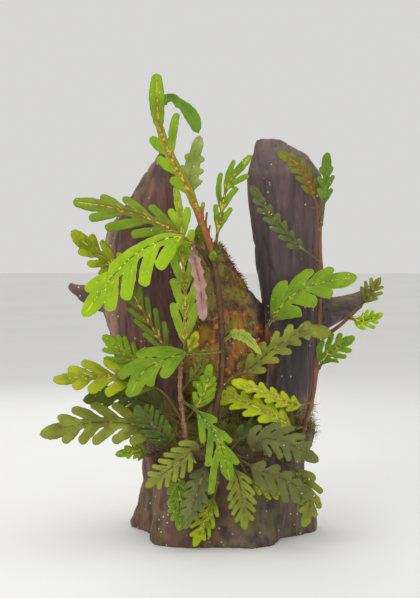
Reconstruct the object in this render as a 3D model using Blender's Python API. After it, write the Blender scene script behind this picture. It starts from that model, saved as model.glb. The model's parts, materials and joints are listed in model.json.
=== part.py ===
"""Pinnatifid hygrophila growing on a forked piece of driftwood.

The wood stands on a sawn flat foot: a broad stump, a thick left limb and a thick
right limb, each with a side snag, and a low mossy spur between them. The stems
root on the ledge of the stump and carry deeply lobed leaves.

X runs to the right, Y away from the front, Z up. The tables are in millimetres;
the meshes are in metres. The origin is on the sawn foot, near its middle.
"""

import math
from dataclasses import dataclass

import bmesh
import bpy
from mathutils import Vector

MM = 0.001

# Driving dimensions of the wood, in millimetres
LEDGE_HEIGHT = 76.0
JOINT_GAP = 0.3
BASE_SIDES = 24
ROOT_SPREAD = 2.4
LIMB_SIDES = 12
SNAG_SIDES = 8

# Driving dimensions of the plant, in millimetres
LEAF_THICKNESS = 0.8
PETIOLE_STEP = 14.0
STEM_SAMPLES = 9
STEM_BEVEL_RESOLUTION = 1


@dataclass(frozen=True)
class Finish:
    """Colour, roughness and metallic value of one material."""

    name: str
    colour: tuple
    roughness: float
    metallic: float = 0.0


BARK = Finish("dark_driftwood", (0.055, 0.024, 0.018), 0.7)
MOSSY_BARK = Finish("mossy_driftwood", (0.10, 0.075, 0.02), 0.8)
BROWN_STEM = Finish("brown_stem", (0.09, 0.028, 0.018), 0.45)
PINK_STEM = Finish("pink_stem", (0.30, 0.09, 0.06), 0.45)
BRIGHT_GREEN = Finish("bright_green_leaf", (0.28, 0.48, 0.01), 0.4)
YELLOW_GREEN = Finish("yellow_green_leaf", (0.42, 0.50, 0.01), 0.4)
MID_GREEN = Finish("mid_green_leaf", (0.16, 0.34, 0.02), 0.4)
OLIVE_GREEN = Finish("olive_leaf", (0.12, 0.14, 0.025), 0.5)
PINK_UNDERSIDE = Finish("pink_leaf_underside", (0.36, 0.18, 0.17), 0.5)


@dataclass(frozen=True)
class Section:
    """One cross-section of a piece of wood: its centre and half sizes."""

    x: float
    y: float
    z: float
    half_width: float
    half_depth: float


@dataclass(frozen=True)
class Stem:
    """One stem: the points its centreline runs through and its two radii."""

    name: str
    points: tuple
    radius: float
    tip_radius: float
    finish: Finish


@dataclass(frozen=True)
class Leaf:
    """One pinnatifid leaf.

    stem and at say where on which stem it grows: 1 is the stem's free end.
    points are the rest of the midrib, face the way the blade's top looks.
    lobes is the number of lobe pairs, reach the length of the longest lobe,
    left and right the shares of it that the two sides have, longest where on
    the blade the longest lobe sits, wing the half width of the blade along the
    midrib, lean the angle between lobe and midrib, petiole the bare share of
    the midrib, stalk its half width, end the length of the end lobe in lobe
    spacings, fill how much of its room a lobe takes, and droop how far the tips
    of the lobes bend back from the face. margin is the widest half width where
    the right edge is nearly whole. gaps are the lobes that are left out, counted
    from the petiole, with a minus sign on the left.
    """

    name: str
    stem: str
    at: float
    points: tuple
    face: tuple
    lobes: int
    reach: float
    finish: Finish
    wing: float = 2.4
    lean: float = 40.0
    petiole: float = 0.14
    stalk: float = 0.9
    left: float = 1.0
    right: float = 1.0
    longest: float = 0.35
    end: float = 1.2
    fill: float = 0.8
    droop: float = 0.10
    margin: float = 0.0
    gaps: tuple = ()


BASE_SECTIONS = (
    Section(7, 0, 0, 60, 42),
    Section(8, 0, 14, 58, 40),
    Section(8, 0, 34, 55, 36),
    Section(8, 0, 52, 57, 37),
    Section(8, 0, 64, 61, 34),
    Section(8, 0, LEDGE_HEIGHT, 64, 27),
)

LEFT_LIMB_SECTIONS = (
    Section(-33, 1, LEDGE_HEIGHT + JOINT_GAP, 21, 24),
    Section(-37, 1, 98, 21, 23),
    Section(-43, 0, 128, 24, 22),
    Section(-47, 0, 158, 27, 22),
    Section(-49, 0, 186, 28, 21),
    Section(-47, 0, 212, 24, 19),
    Section(-39, 1, 238, 15, 14),
    Section(-33, 2, 256, 9, 9),
    Section(-30, 3, 268, 4, 5),
)

RIGHT_LIMB_SECTIONS = (
    Section(48, 1, LEDGE_HEIGHT + JOINT_GAP, 21, 23),
    Section(52, 1, 98, 20, 21),
    Section(56, 0, 128, 19, 20),
    Section(58, 0, 160, 20, 20),
    Section(54, 0, 194, 23, 20),
    Section(52, 0, 226, 26, 20),
    Section(51, 0, 250, 26, 18),
    Section(47, 1, 264, 19, 13),
    Section(40, 2, 275, 8, 7),
)

SPUR_SECTIONS = (
    Section(7, 0, LEDGE_HEIGHT + JOINT_GAP, 18, 19),
    Section(8.5, -1, 98, 20.5, 17.5),
    Section(8, -2, 122, 24, 16),
    Section(8, -2, 142, 24.5, 14),
    Section(7, -1, 160, 22.5, 12),
    Section(3.5, 0, 176, 17.5, 9.5),
    Section(1.5, 1, 191, 12, 6.5),
    Section(3, 2, 203, 4.5, 3),
)

RIGHT_SNAG_SECTIONS = (
    Section(60, 3, 150, 14, 12),
    Section(80, 6, 152, 12, 10),
    Section(96, 10, 158, 9, 8),
    Section(110, 13, 166, 4, 4),
)

LEFT_SNAG_SECTIONS = (
    Section(-60, 4, 166, 12, 11),
    Section(-78, 8, 164, 10, 9),
    Section(-92, 12, 168, 6, 6),
    Section(-100, 14, 173, 3, 3),
)

STEMS = (
    Stem(
        "main_stem",
        ((2, -34.1, 68), (3, -35.8, 84), (5.5, -37, 102), (8, -37, 117.5),
         (8, -37, 142), (5.3, -36, 174), (2, -35, 195)),
        2.3, 1.7, BROWN_STEM,
    ),
    Stem(
        "side_shoot",
        ((-1.4, -37, 191), (-6.5, -38.5, 199), (-11.3, -40, 203.3)),
        1.4, 1.2, BROWN_STEM,
    ),
    Stem(
        "left_stem",
        ((-16, -34.6, 68), (-18, -36.8, 86), (-20, -38, 105), (-19.3, -38, 121),
         (-16.5, -38.5, 130)),
        1.7, 1.3, PINK_STEM,
    ),
    Stem(
        "right_stem",
        ((36, -28.3, 68), (38, -29, 96), (39, -28, 125), (38.5, -28, 147)),
        1.7, 1.3, BROWN_STEM,
    ),
    Stem(
        "right_limb_stem",
        ((62, -23.3, 70), (70, -26.5, 102), (73, -27, 138), (74, -26, 172),
         (74, -26, 204), (72, -26, 228)),
        1.7, 1.2, PINK_STEM,
    ),
    Stem(
        "right_twig",
        ((78, -22, 140), (89, -22, 148), (102, -21, 160)),
        1.4, 1.0, PINK_STEM,
    ),
    Stem(
        "back_stem",
        ((10, 34, 68), (9, 35.3, 96), (5, 33, 128), (2, 29, 156)),
        1.9, 1.4, BROWN_STEM,
    ),
    Stem(
        "creeping_rhizome",
        ((-38, -35, 60), (-24, -38.2, 62), (-6, -40, 59), (12, -39.6, 62), (28, -39, 59), (44, -35, 60)),
        2.0, 1.6, BROWN_STEM,
    ),
)

LEAVES = (
    # The tall leaves at the top of the main stem
    Leaf("top_leaf", "main_stem", 1.0,
         ((-5.3, -37, 216), (-14, -40, 238), (-25, -44, 258.5), (-33, -50, 281), (-34.5, -57, 312)),
         (0.3, -1, 0.1), 5, 24, BRIGHT_GREEN, wing=3.2, lean=27, petiole=0.24, stalk=2.4,
         left=0.46, longest=0.6, end=2.0, fill=0.95, droop=0.2, gaps=(1, 2, 3, 5, -1, -5)),
    Leaf("top_side_leaf", "main_stem", 0.9,
         ((-5, -29, 212), (-12, -28, 236), (-13, -27, 250), (-7, -24, 275)),
         (-0.3, -1, 0.1), 3, 4, OLIVE_GREEN, wing=5.6, lean=35, petiole=0.6, droop=0.2),
    Leaf("top_back_leaf", "main_stem", 0.82,
         ((-6.5, -24.5, 216), (-16, -23.5, 239), (-28, -22, 262), (-36, -21, 283), (-35, -20, 297),
          (-25, -19, 301), (-13, -20, 290), (-8, -22, 278)),
         (0, -1, 0), 2, 1.4, OLIVE_GREEN, wing=2.8, petiole=0.76, end=1.6, droop=0.02,
         gaps=(-1, -2)),
    Leaf("top_right_leaf", "main_stem", 0.97,
         ((4, -38, 203), (8, -41, 226), (12.5, -45, 243), (26.5, -52, 260)),
         (-0.25, -1, 0.1), 3, 16, MID_GREEN, wing=0.9, lean=26, petiole=0.26, fill=0.62,
         longest=0.6, droop=0.2),
    Leaf("front_young_leaf", "main_stem", 0.95,
         ((2.4, -40.5, 193.5), (2.3, -44, 198)),
         (0, -0.8, 0.6), 0, 3, BRIGHT_GREEN, wing=2.6, petiole=0.4),
    # The whorl at the side shoot
    Leaf("bright_left_leaf", "side_shoot", 1.0,
         ((-25, -46, 207), (-45, -52, 198.5), (-63, -56, 182), (-82, -59, 156)),
         (-0.2, -0.85, 0.5), 4, 26, BRIGHT_GREEN, wing=4.4, lean=36, petiole=0.07,
         right=0.8, end=1.0, fill=0.82, droop=0.15, margin=10.0, gaps=(1, 2, 3)),
    Leaf("upper_left_leaf", "side_shoot", 0.66,
         ((-23, -37.5, 211), (-44, -38.5, 220.5), (-66, -42, 227), (-90, -45, 230.5)),
         (0, -0.85, 0.5), 3, 24, MID_GREEN, wing=3.2, lean=30, petiole=0.2, right=0.7,
         end=1.1, fill=0.74, droop=0.2),
    Leaf("pink_hanging_leaf", "side_shoot", 0.86,
         ((-10, -45, 192), (-6.5, -48, 176), (-4.5, -50, 153)),
         (0.25, -1, 0.1), 4, 0.5, PINK_UNDERSIDE, wing=3.6, lean=35, petiole=0.1),
    # The leaves of the left stem
    Leaf("left_upright_leaf", "left_stem", 1.0,
         ((-17, -38.5, 145), (-16.5, -37, 168), (-18, -34, 194), (-19.5, -31, 218),
          (-23, -30, 241)),
         (0.1, -1, 0), 5, 20, BRIGHT_GREEN, wing=0.9, lean=25, petiole=0.06, end=1.0, fill=0.72),
    Leaf("long_diagonal_leaf", "left_stem", 0.94,
         ((-28, -40, 131.5), (-37, -42, 146), (-46, -43, 161), (-56, -44, 180)),
         (-0.1, -1, 0.3), 4, 17, OLIVE_GREEN, wing=0.9, lean=28, petiole=0.14, fill=0.66),
    Leaf("far_left_leaf", "left_stem", 0.84,
         ((-38, -32, 146), (-56, -32, 172), (-67, -34, 190), (-78, -38, 199), (-91, -44, 211)),
         (-0.1, -1, 0.4), 3, 13, YELLOW_GREEN, wing=2.8, lean=34, petiole=0.58, droop=0.2),
    Leaf("left_middle_leaf", "left_stem", 0.74,
         ((-36, -34.5, 122), (-54, -36, 127), (-71, -40, 142)),
         (0, -1, 0.3), 3, 13, MID_GREEN, wing=2.6, lean=36, petiole=0.42, droop=0.2),
    Leaf("left_yellow_leaf", "left_stem", 0.28,
         ((-33, -45, 106), (-56, -49.5, 114), (-78, -57, 117), (-101, -65, 115)),
         (0, -0.8, 0.6), 4, 16, YELLOW_GREEN, wing=2.6, lean=40, petiole=0.3, end=0.9),
    Leaf("left_shaded_leaf", "left_stem", 0.2,
         ((-42, -39, 97), (-62, -40, 102), (-84, -42, 99)),
         (0, -1, 0.2), 4, 11, MID_GREEN, wing=2.6, petiole=0.2),
    Leaf("drooping_leaf", "left_stem", 0.4,
         ((-9, -48, 93), (1, -55, 82), (7.5, -60, 70), (13, -63, 50)),
         (0.1, -1, 0.1), 3, 26, BRIGHT_GREEN, wing=2.4, lean=30, petiole=0.24,
         left=0.45, longest=1.0, end=1.0, fill=0.8),
    Leaf("young_sprout_leaf", "left_stem", 0.9,
         ((-11.5, -41, 137), (-8.5, -43, 145)),
         (0.1, -1, 0.1), 1, 5, YELLOW_GREEN, wing=1.6, petiole=0.3, lean=30),
    Leaf("lower_left_leaf", "main_stem", 0.6,
         ((-5, -46, 131), (-19, -48.5, 130.5), (-32, -51, 126), (-44, -55, 119), (-52, -59, 104)),
         (-0.1, -0.85, 0.5), 2, 21, BRIGHT_GREEN, wing=3.6, lean=32, petiole=0.36,
         left=0.72, end=0.9, fill=0.86, droop=0.15),
    Leaf("centre_leaf", "left_stem", 0.24,
         ((-10, -42, 93), (-4.5, -45, 103), (-1.5, -47, 113), (0, -48, 124)),
         (0.2, -1, 0.1), 3, 9, BRIGHT_GREEN, wing=1.4, lean=38, petiole=0.26),
    Leaf("inner_olive_leaf", "left_stem", 0.52,
         ((-13, -38, 112), (-6.5, -37.5, 120), (-4, -38, 133)),
         (0.1, -1, 0.1), 3, 6, OLIVE_GREEN, wing=2.6, lean=34, petiole=0.24),
    # The leaves of the main stem's lower half
    Leaf("small_right_leaf", "main_stem", 0.65,
         ((16, -41, 143), (24, -44, 141), (33, -47, 131)),
         (0, -0.9, 0.4), 4, 1.2, YELLOW_GREEN, wing=3.0, lean=30, petiole=0.16, end=1.6),
    Leaf("right_dull_leaf", "main_stem", 0.42,
         ((26, -35, 119), (44, -36, 134), (63, -39, 145), (80, -44, 143.5)),
         (0, -1, 0.3), 5, 8, OLIVE_GREEN, wing=3.8, lean=34, petiole=0.2, droop=0.2),
    # The leaves of the right stem
    Leaf("right_upper_leaf", "right_stem", 1.0,
         ((53, -36, 167), (73, -42, 177), (96, -50, 181)),
         (0, -0.8, 0.6), 3, 17, MID_GREEN, wing=4.4, lean=38, petiole=0.1, fill=0.9, droop=0.2),
    # The leaves on the right limb
    Leaf("right_yellow_leaf", "right_limb_stem", 0.16,
         ((58, -36, 95), (44, -40, 100.5), (29, -41, 107), (14.5, -40, 111.5)),
         (0.1, -1, 0.1), 5, 6, YELLOW_GREEN, wing=2.8, lean=26, petiole=0.16, fill=0.95),
    Leaf("right_bright_leaf", "right_limb_stem", 0.05,
         ((55, -38, 80.5), (40, -41, 90), (24, -36.5, 96.5), (7, -27, 102), (-12, -25.5, 109)),
         (0.1, -0.8, 0.6), 6, 8, YELLOW_GREEN, wing=4.4, lean=30, petiole=0.18, fill=0.95),
    Leaf("right_shaded_leaf", "creeping_rhizome", 0.61,
         ((21, -35.5, 72), (33, -34.5, 80), (48, -34.5, 84)),
         (0, -1, 0.2), 4, 8, MID_GREEN, wing=2.8, petiole=0.24),
    Leaf("right_lower_leaf", "right_limb_stem", 0.3,
         ((80, -33, 130), (96, -39, 141)),
         (0, -1, 0.2), 3, 10, MID_GREEN, wing=3.0, petiole=0.1),
    Leaf("limb_top_olive_leaf", "right_limb_stem", 1.0,
         ((66, -30, 244), (57.5, -35, 256), (44.5, -40, 263)),
         (0.1, -1, 0.3), 4, 8, OLIVE_GREEN, wing=2.0, lean=34),
    Leaf("limb_top_green_leaf", "right_limb_stem", 0.9,
         ((77, -32, 239), (77.5, -38, 263)),
         (0.3, -1, 0.1), 3, 7, BRIGHT_GREEN, wing=1.8, lean=34, petiole=0.3, droop=0.2),
    Leaf("limb_crossing_leaf", "right_limb_stem", 0.72,
         ((57, -31, 204), (42, -35, 221), (26.5, -38, 241)),
         (-0.1, -1, 0.2), 6, 9, OLIVE_GREEN, wing=1.4, lean=34, petiole=0.18, right=0.55),
    Leaf("far_right_dark_leaf", "right_twig", 1.0,
         ((107, -25, 168), (114.5, -30, 180)),
         (0, -1, 0.1), 3, 8, MID_GREEN, wing=2.0),
    Leaf("far_right_light_leaf", "right_twig", 0.72,
         ((103, -29, 151), (115.5, -35, 156)),
         (0, -1, 0.3), 3, 7, BRIGHT_GREEN, wing=2.0),
    # The shaded leaves that hang over the front of the stump
    Leaf("low_far_left_leaf", "left_stem", 0.06,
         ((-45, -48, 83), (-78, -54, 86), (-110, -60, 79)),
         (0, -0.85, 0.5), 5, 17, OLIVE_GREEN, wing=3.6, petiole=0.2),
    Leaf("feathery_leaf", "creeping_rhizome", 0.16,
         ((-33, -51, 78), (-48, -56, 98)),
         (-0.1, -1, 0.1), 7, 11, OLIVE_GREEN, wing=1.6, lean=48, fill=0.75),
    Leaf("low_small_leaf", "creeping_rhizome", 0.0,
         ((-50, -48, 66), (-62, -50, 64)),
         (0, -1, 0.2), 3, 6, BRIGHT_GREEN, wing=1.6),
    Leaf("low_olive_leaf", "creeping_rhizome", 0.34,
         ((-12, -54, 67), (-23, -60, 59), (-42, -62, 45)),
         (0, -1, 0.1), 6, 10, OLIVE_GREEN, wing=2.8, lean=44, petiole=0.16),
    Leaf("low_green_leaf", "creeping_rhizome", 0.24,
         ((-22, -51, 50), (-20, -52, 36), (-20, -52, 14)),
         (0, -1, 0), 4, 10, MID_GREEN, wing=2.2, lean=36, petiole=0.3),
    Leaf("low_grey_leaf", "creeping_rhizome", 0.46,
         ((-3, -49, 57), (-6.5, -54.5, 46), (-11, -57, 32), (-17, -58, 16)),
         (0, -1, 0.1), 5, 6.5, OLIVE_GREEN, wing=4.6, lean=40, petiole=0.2, fill=0.95),
    Leaf("low_yellow_leaf", "creeping_rhizome", 0.52,
         ((5, -50, 48), (2, -49, 34), (-4, -49, 18), (-10.5, -50, 3)),
         (0, -1, 0), 4, 10, YELLOW_GREEN, wing=2.2, lean=32, petiole=0.46),
    Leaf("low_front_leaf", "creeping_rhizome", 0.58,
         ((17, -50, 52), (21, -53, 37), (23, -54, 15)),
         (0.1, -1, 0), 5, 11, MID_GREEN, wing=2.6, lean=38, petiole=0.24),
    Leaf("low_right_leaf", "creeping_rhizome", 0.78,
         ((34, -50, 74), (51, -57, 73), (70, -63, 62)),
         (0, -0.9, 0.4), 5, 12, OLIVE_GREEN, wing=3.8, petiole=0.1),
    Leaf("low_right_front_leaf", "creeping_rhizome", 0.66,
         ((31, -52, 55), (48, -55, 49), (69, -57, 37)),
         (0, -1, 0.1), 4, 15, OLIVE_GREEN, wing=2.4, lean=48, petiole=0.24, left=0.4),
    Leaf("low_right_yellow_leaf", "creeping_rhizome", 0.7,
         ((27, -46, 47), (38, -46, 41), (52, -46, 37)),
         (0, -1, 0), 3, 8, YELLOW_GREEN, wing=1.8, petiole=0.4),
    Leaf("low_right_back_leaf", "creeping_rhizome", 1.0,
         ((60, -49, 50), (66, -50, 34), (62, -51, 16)),
         (0, -1, 0), 4, 9, MID_GREEN, wing=2.4, petiole=0.3),
    # The leaves at the back
    Leaf("back_top_leaf", "back_stem", 1.0,
         ((-2, 31, 172), (-10, 36, 193), (-6, 40, 217)),
         (0, 1, 0.1), 5, 14, MID_GREEN, wing=2.4, lean=32),
    Leaf("back_left_leaf", "back_stem", 0.72,
         ((-14, 39, 136), (-34, 46, 149), (-60, 50, 146)),
         (0, 1, 0.3), 4, 15, BRIGHT_GREEN, wing=2.8, lean=36),
    Leaf("back_right_leaf", "back_stem", 0.56,
         ((26, 39, 119), (45, 45, 136), (62, 50, 160)),
         (0, 1, 0.3), 4, 14, BRIGHT_GREEN, wing=2.8, lean=36, petiole=0.2),
    Leaf("back_low_left_leaf", "back_stem", 0.2,
         ((-8, 47, 88), (-26, 56, 82), (-50, 60, 58)),
         (0, 1, 0.3), 5, 13, OLIVE_GREEN, wing=3.0, petiole=0.2),
    Leaf("back_low_right_leaf", "back_stem", 0.3,
         ((27, 46, 92), (44, 55, 88), (66, 58, 76)),
         (0, 1, 0.3), 4, 15, MID_GREEN, wing=3.0, petiole=0.24),
)


def clear_scene():
    """Removes whatever the open scene holds."""
    for old in list(bpy.data.objects):
        bpy.data.objects.remove(old)


def material_of(finish):
    """The material of a finish, made once."""
    found = bpy.data.materials.get(finish.name)
    if found:
        return found
    made = bpy.data.materials.new(finish.name)
    made.use_nodes = True
    shader = made.node_tree.nodes["Principled BSDF"]
    shader.inputs["Base Color"].default_value = (*finish.colour, 1.0)
    shader.inputs["Roughness"].default_value = finish.roughness
    shader.inputs["Metallic"].default_value = finish.metallic
    return made


def add_object(name, data, finish, location, parent):
    """Links a new object with its material at a place in millimetres."""
    placed = bpy.data.objects.new(name, data)
    bpy.context.scene.collection.objects.link(placed)
    data.materials.append(material_of(finish))
    set_place(placed, location, parent)
    return placed


def set_place(placed, location, parent):
    """Parents an object and moves it to a place given in the frame of the part."""
    world = Vector(location) * MM
    placed["place"] = world
    placed.parent = parent
    placed.location = world - Vector(parent["place"]) if parent else world


def mesh_from(name, points, faces, location):
    """A mesh in metres from points in millimetres, its faces turned outwards."""
    mesh = bpy.data.meshes.new(name)
    shift = Vector(location)
    mesh.from_pydata([(Vector(point) - shift) * MM for point in points], [], faces)
    work = bmesh.new()
    work.from_mesh(mesh)
    bmesh.ops.recalc_face_normals(work, faces=work.faces)
    work.to_mesh(mesh)
    work.free()
    return mesh


# Wood


def flute(angle, height, seed, depth=1.0):
    """How far a weathered trunk stands proud of its plain oval, as a factor."""
    broad = 0.06 * math.sin(3 * angle + height / 42 + seed)
    fine = 0.04 * math.sin(5 * angle - height / 27 + 2 * seed)
    return 1 + depth * (broad + fine)


def upright_ring(section, sides, seed, squareness=1.0, depth=1.0):
    """A level ring of points round an upright piece of wood."""
    ring = []
    for k in range(sides):
        angle = 2 * math.pi * k / sides
        factor = flute(angle, section.z, seed, depth)
        c, s = math.cos(angle), math.sin(angle)
        across = math.copysign(abs(c) ** squareness, c) * section.half_width * factor
        deep = math.copysign(abs(s) ** squareness, s) * section.half_depth * factor
        ring.append((section.x + across, section.y + deep, section.z))
    return ring


def lying_ring(section, sides, seed):
    """An upright ring of points round a branch that runs along X."""
    ring = []
    for k in range(sides):
        angle = 2 * math.pi * k / sides
        factor = flute(angle, section.x, seed)
        deep = section.half_depth * math.cos(angle) * factor
        high = section.half_width * math.sin(angle) * factor
        ring.append((section.x, section.y + deep, section.z + high))
    return ring


def loft(name, rings, finish, parent):
    """A closed solid skinned over rings of equal count, with flat ends."""
    sides = len(rings[0])
    foot = sum((Vector(point) for point in rings[0]), Vector()) / sides
    points = [point for ring in rings for point in ring]
    faces = []
    for level in range(len(rings) - 1):
        for k in range(sides):
            a, b = level * sides + k, level * sides + (k + 1) % sides
            faces.append((a, b, b + sides, a + sides))
    faces.append(tuple(range(sides)))
    faces.append(tuple(range(len(points) - sides, len(points))))
    placed = add_object(name, mesh_from(name, points, faces, foot), finish, foot, parent)
    placed.data.shade_smooth()
    placed.data.set_sharp_from_angle(angle=math.radians(40))
    return placed


def join_branch(limb, branch):
    """Grows a branch into its limb as one solid."""
    union = limb.modifiers.new("grow " + branch.name, "BOOLEAN")
    union.operation = "UNION"
    union.object = branch
    branch.hide_render = True
    branch.display_type = "WIRE"


def build_wood(root):
    """The stump, its two limbs with their snags, and the mossy spur."""
    stump = []
    for s in BASE_SECTIONS:
        rooty = 1 + (ROOT_SPREAD - 1) * (1 - s.z / LEDGE_HEIGHT)
        stump.append(upright_ring(s, BASE_SIDES, 0.4, 0.8, rooty))
    left = [upright_ring(s, LIMB_SIDES, 1.3) for s in LEFT_LIMB_SECTIONS]
    right = [upright_ring(s, LIMB_SIDES, 2.9) for s in RIGHT_LIMB_SECTIONS]
    spur = [upright_ring(s, LIMB_SIDES, 4.1) for s in SPUR_SECTIONS]
    left_snag = [lying_ring(s, SNAG_SIDES, 0.7) for s in LEFT_SNAG_SECTIONS]
    right_snag = [lying_ring(s, SNAG_SIDES, 1.9) for s in RIGHT_SNAG_SECTIONS]
    base = loft("driftwood_stump", stump, BARK, root)
    left_limb = loft("driftwood_left_limb", left, BARK, base)
    right_limb = loft("driftwood_right_limb", right, BARK, base)
    loft("driftwood_mossy_spur", spur, MOSSY_BARK, base)
    join_branch(left_limb, loft("left_snag_guide", left_snag, BARK, left_limb))
    join_branch(right_limb, loft("right_snag_guide", right_snag, BARK, right_limb))
    return base


# Stems


def spline_point(points, share):
    """The point at a share of a smooth curve that passes through the points."""
    spans = len(points) - 1
    place = min(max(share, 0.0), 1.0) * spans
    i = min(int(place), spans - 1)
    t = place - i
    p1, p2 = Vector(points[i]), Vector(points[i + 1])
    p0 = Vector(points[i - 1]) if i > 0 else 2 * p1 - p2
    p3 = Vector(points[i + 2]) if i + 2 <= spans else 2 * p2 - p1
    return 0.5 * (
        2 * p1
        + (p2 - p0) * t
        + (2 * p0 - 5 * p1 + 4 * p2 - p3) * t * t
        + (3 * p1 - p0 - 3 * p2 + p3) * t * t * t
    )


def spline_tangent(points, share, step=0.01):
    """The unit direction of that curve."""
    ahead = spline_point(points, min(share + step, 1.0))
    behind = spline_point(points, max(share - step, 0.0))
    return (ahead - behind).normalized()


def stem_radius(stem, share):
    """The stem's radius at a share of its length."""
    return stem.radius + (stem.tip_radius - stem.radius) * share


def build_stem(stem, parent):
    """A round tapering stem with closed ends."""
    foot = Vector(stem.points[0])
    curve = bpy.data.curves.new(stem.name, "CURVE")
    curve.dimensions = "3D"
    curve.bevel_depth = MM
    curve.bevel_resolution = STEM_BEVEL_RESOLUTION
    curve.use_fill_caps = True
    spline = curve.splines.new("POLY")
    spline.points.add(STEM_SAMPLES - 1)
    for k, point in enumerate(spline.points):
        share = k / (STEM_SAMPLES - 1)
        place = (spline_point(stem.points, share) - foot) * MM
        point.co = (*place, 1.0)
        point.radius = stem_radius(stem, share)
    return add_object(stem.name, curve, stem.finish, foot, parent)


# Leaves


def leaf_root(leaf, stem):
    """Where the petiole starts, just clear of the stem's bark or its end."""
    place = spline_point(stem.points, leaf.at)
    along = spline_tangent(stem.points, leaf.at)
    heading = (Vector(leaf.points[0]) - place).normalized()
    turned = abs(heading.dot(along))
    across = math.sqrt(max(1e-6, 1 - turned * turned))
    if leaf.at in (0.0, 1.0):
        return place + heading * (JOINT_GAP + leaf.stalk * across) / turned
    outwards = (heading - along * heading.dot(along)).normalized()
    clear = stem_radius(stem, leaf.at) + JOINT_GAP + leaf.stalk * turned
    return place + outwards * clear


class Blade:
    """The bent sheet that a leaf's flat outline is laid on."""

    SAMPLES = 60

    def __init__(self, leaf, stem):
        self.leaf = leaf
        self.points = (tuple(leaf_root(leaf, stem)), *leaf.points)
        samples = [spline_point(self.points, k / self.SAMPLES) for k in range(self.SAMPLES + 1)]
        self.lengths = [0.0]
        for before, after in zip(samples, samples[1:]):
            self.lengths.append(self.lengths[-1] + (after - before).length)
        self.length = self.lengths[-1]

    def share_at(self, distance):
        """The share of the curve at a distance along the midrib."""
        distance = min(max(distance, 0.0), self.length)
        for k in range(self.SAMPLES):
            if self.lengths[k + 1] >= distance:
                span = self.lengths[k + 1] - self.lengths[k]
                return (k + (distance - self.lengths[k]) / span) / self.SAMPLES
        return 1.0

    def place(self, along, across):
        """The point of the bent sheet at a distance along and across the midrib."""
        share = self.share_at(along)
        centre = spline_point(self.points, share)
        tangent = spline_tangent(self.points, share)
        side = tangent.cross(Vector(self.leaf.face)).normalized()
        top = side.cross(tangent)
        fall = self.leaf.droop * across * across / (self.leaf.reach + self.leaf.wing)
        return centre + side * across - top * fall


def lobe_length(leaf, share):
    """How long the lobes are at a share of the lobed stretch."""
    off = (share - leaf.longest) / max(leaf.longest, 1 - leaf.longest)
    return leaf.reach * (1 - 0.5 * off * off)


def wing_width(leaf, share):
    """Half the width of the blade between two lobes."""
    return leaf.wing * (0.55 + 0.45 * math.sin(math.pi * (0.2 + 0.7 * share)))


def build_leaf(leaf, stem, parent):
    """A thin closed leaf: petiole, winged midrib, lobe pairs and end lobe."""
    blade = Blade(leaf, stem)
    start = blade.length * leaf.petiole
    pitch = (blade.length - start) / (leaf.lobes + leaf.end)
    flat, faces = [], []

    def point(along, across):
        flat.append((along, across))
        return len(flat) - 1

    right, left = [], []
    bends = 1 + int(start / PETIOLE_STEP)
    for k in range(bends):
        right.append(point(start * k / bends, leaf.stalk))
        left.append(point(start * k / bends, -leaf.stalk))
    first_lobe = len(left)
    for k in range(leaf.lobes + 1):
        share = k / max(1, leaf.lobes)
        half = leaf.stalk if k == 0 and leaf.lobes else wing_width(leaf, share)
        whole = leaf.margin and 0 < k < leaf.lobes
        wide = leaf.margin * (0.45 + 0.55 * share) if whole else half
        right.append(point(start + k * pitch, wide))
        left.append(point(start + k * pitch, -half))
    for k in range(len(left) - 1):
        faces.append((right[k], left[k], left[k + 1], right[k + 1]))
    lean = math.radians(leaf.lean)
    for k in range(leaf.lobes):
        share = (k + 0.5) / leaf.lobes
        wing = wing_width(leaf, share)
        middle = start + (k + 0.5) * pitch
        for sign, edge, part in ((1, right, leaf.right), (-1, left, leaf.left)):
            if sign * (k + 1) in leaf.gaps:
                continue
            reach = lobe_length(leaf, share) * part
            half = min(0.5 * pitch * math.sin(lean) * leaf.fill, 0.55 * reach)
            corners = []
            for out, aside in ((0.8, -1), (1.0, 0.1), (0.78, 1)):
                along = middle + out * reach * math.cos(lean) + aside * half * math.sin(lean)
                across = wing + out * reach * math.sin(lean) - aside * half * math.cos(lean)
                corners.append(point(along, sign * across))
            faces.append((edge[first_lobe + k], *corners, edge[first_lobe + k + 1]))
    end_start = start + leaf.lobes * pitch
    end_half = min(0.42 * pitch, leaf.wing + 1.5) if leaf.lobes else leaf.wing
    end_left = point(end_start + 0.75 * (blade.length - end_start), -end_half)
    end_tip = point(blade.length, 0)
    end_right = point(end_start + 0.75 * (blade.length - end_start), end_half)
    faces.append((right[-1], left[-1], end_left, end_tip, end_right))
    root = blade.points[0]
    sheet = mesh_from(leaf.name, [blade.place(*p) for p in flat], faces, root)
    placed = add_object(leaf.name, sheet, leaf.finish, root, parent)
    thick = placed.modifiers.new("leaf thickness", "SOLIDIFY")
    thick.thickness = LEAF_THICKNESS * MM
    thick.offset = 0.0
    thick.use_even_offset = False


def main():
    """Builds the wood, the stems that root on it, and the leaves on the stems."""
    clear_scene()
    root = bpy.data.objects.new("hygrophila_on_driftwood", None)
    bpy.context.scene.collection.objects.link(root)
    set_place(root, (0, 0, 0), None)
    wood = build_wood(root)
    stems = {stem.name: (stem, build_stem(stem, wood)) for stem in STEMS}
    for leaf in LEAVES:
        build_leaf(leaf, *stems[leaf.stem])


main()
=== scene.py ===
"""Looks of a pinnatifid hygrophila that grows on a forked piece of driftwood.

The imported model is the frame. One weathered piece of wood takes the place of its
stump, limbs and spur, noded stems take the place of its stems, and thin veined
blades that of its leaves. Moss tufts and root hairs are planted on top. Sizes are
in millimetres in the tables and in metres in the meshes.
"""

from __future__ import annotations

import json
import logging
import math
import random
from collections.abc import Callable
from dataclasses import dataclass
from enum import Enum
from functools import partial
from typing import ClassVar

import bmesh
import bpy
import numpy as np
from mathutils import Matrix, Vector, noise


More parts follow.
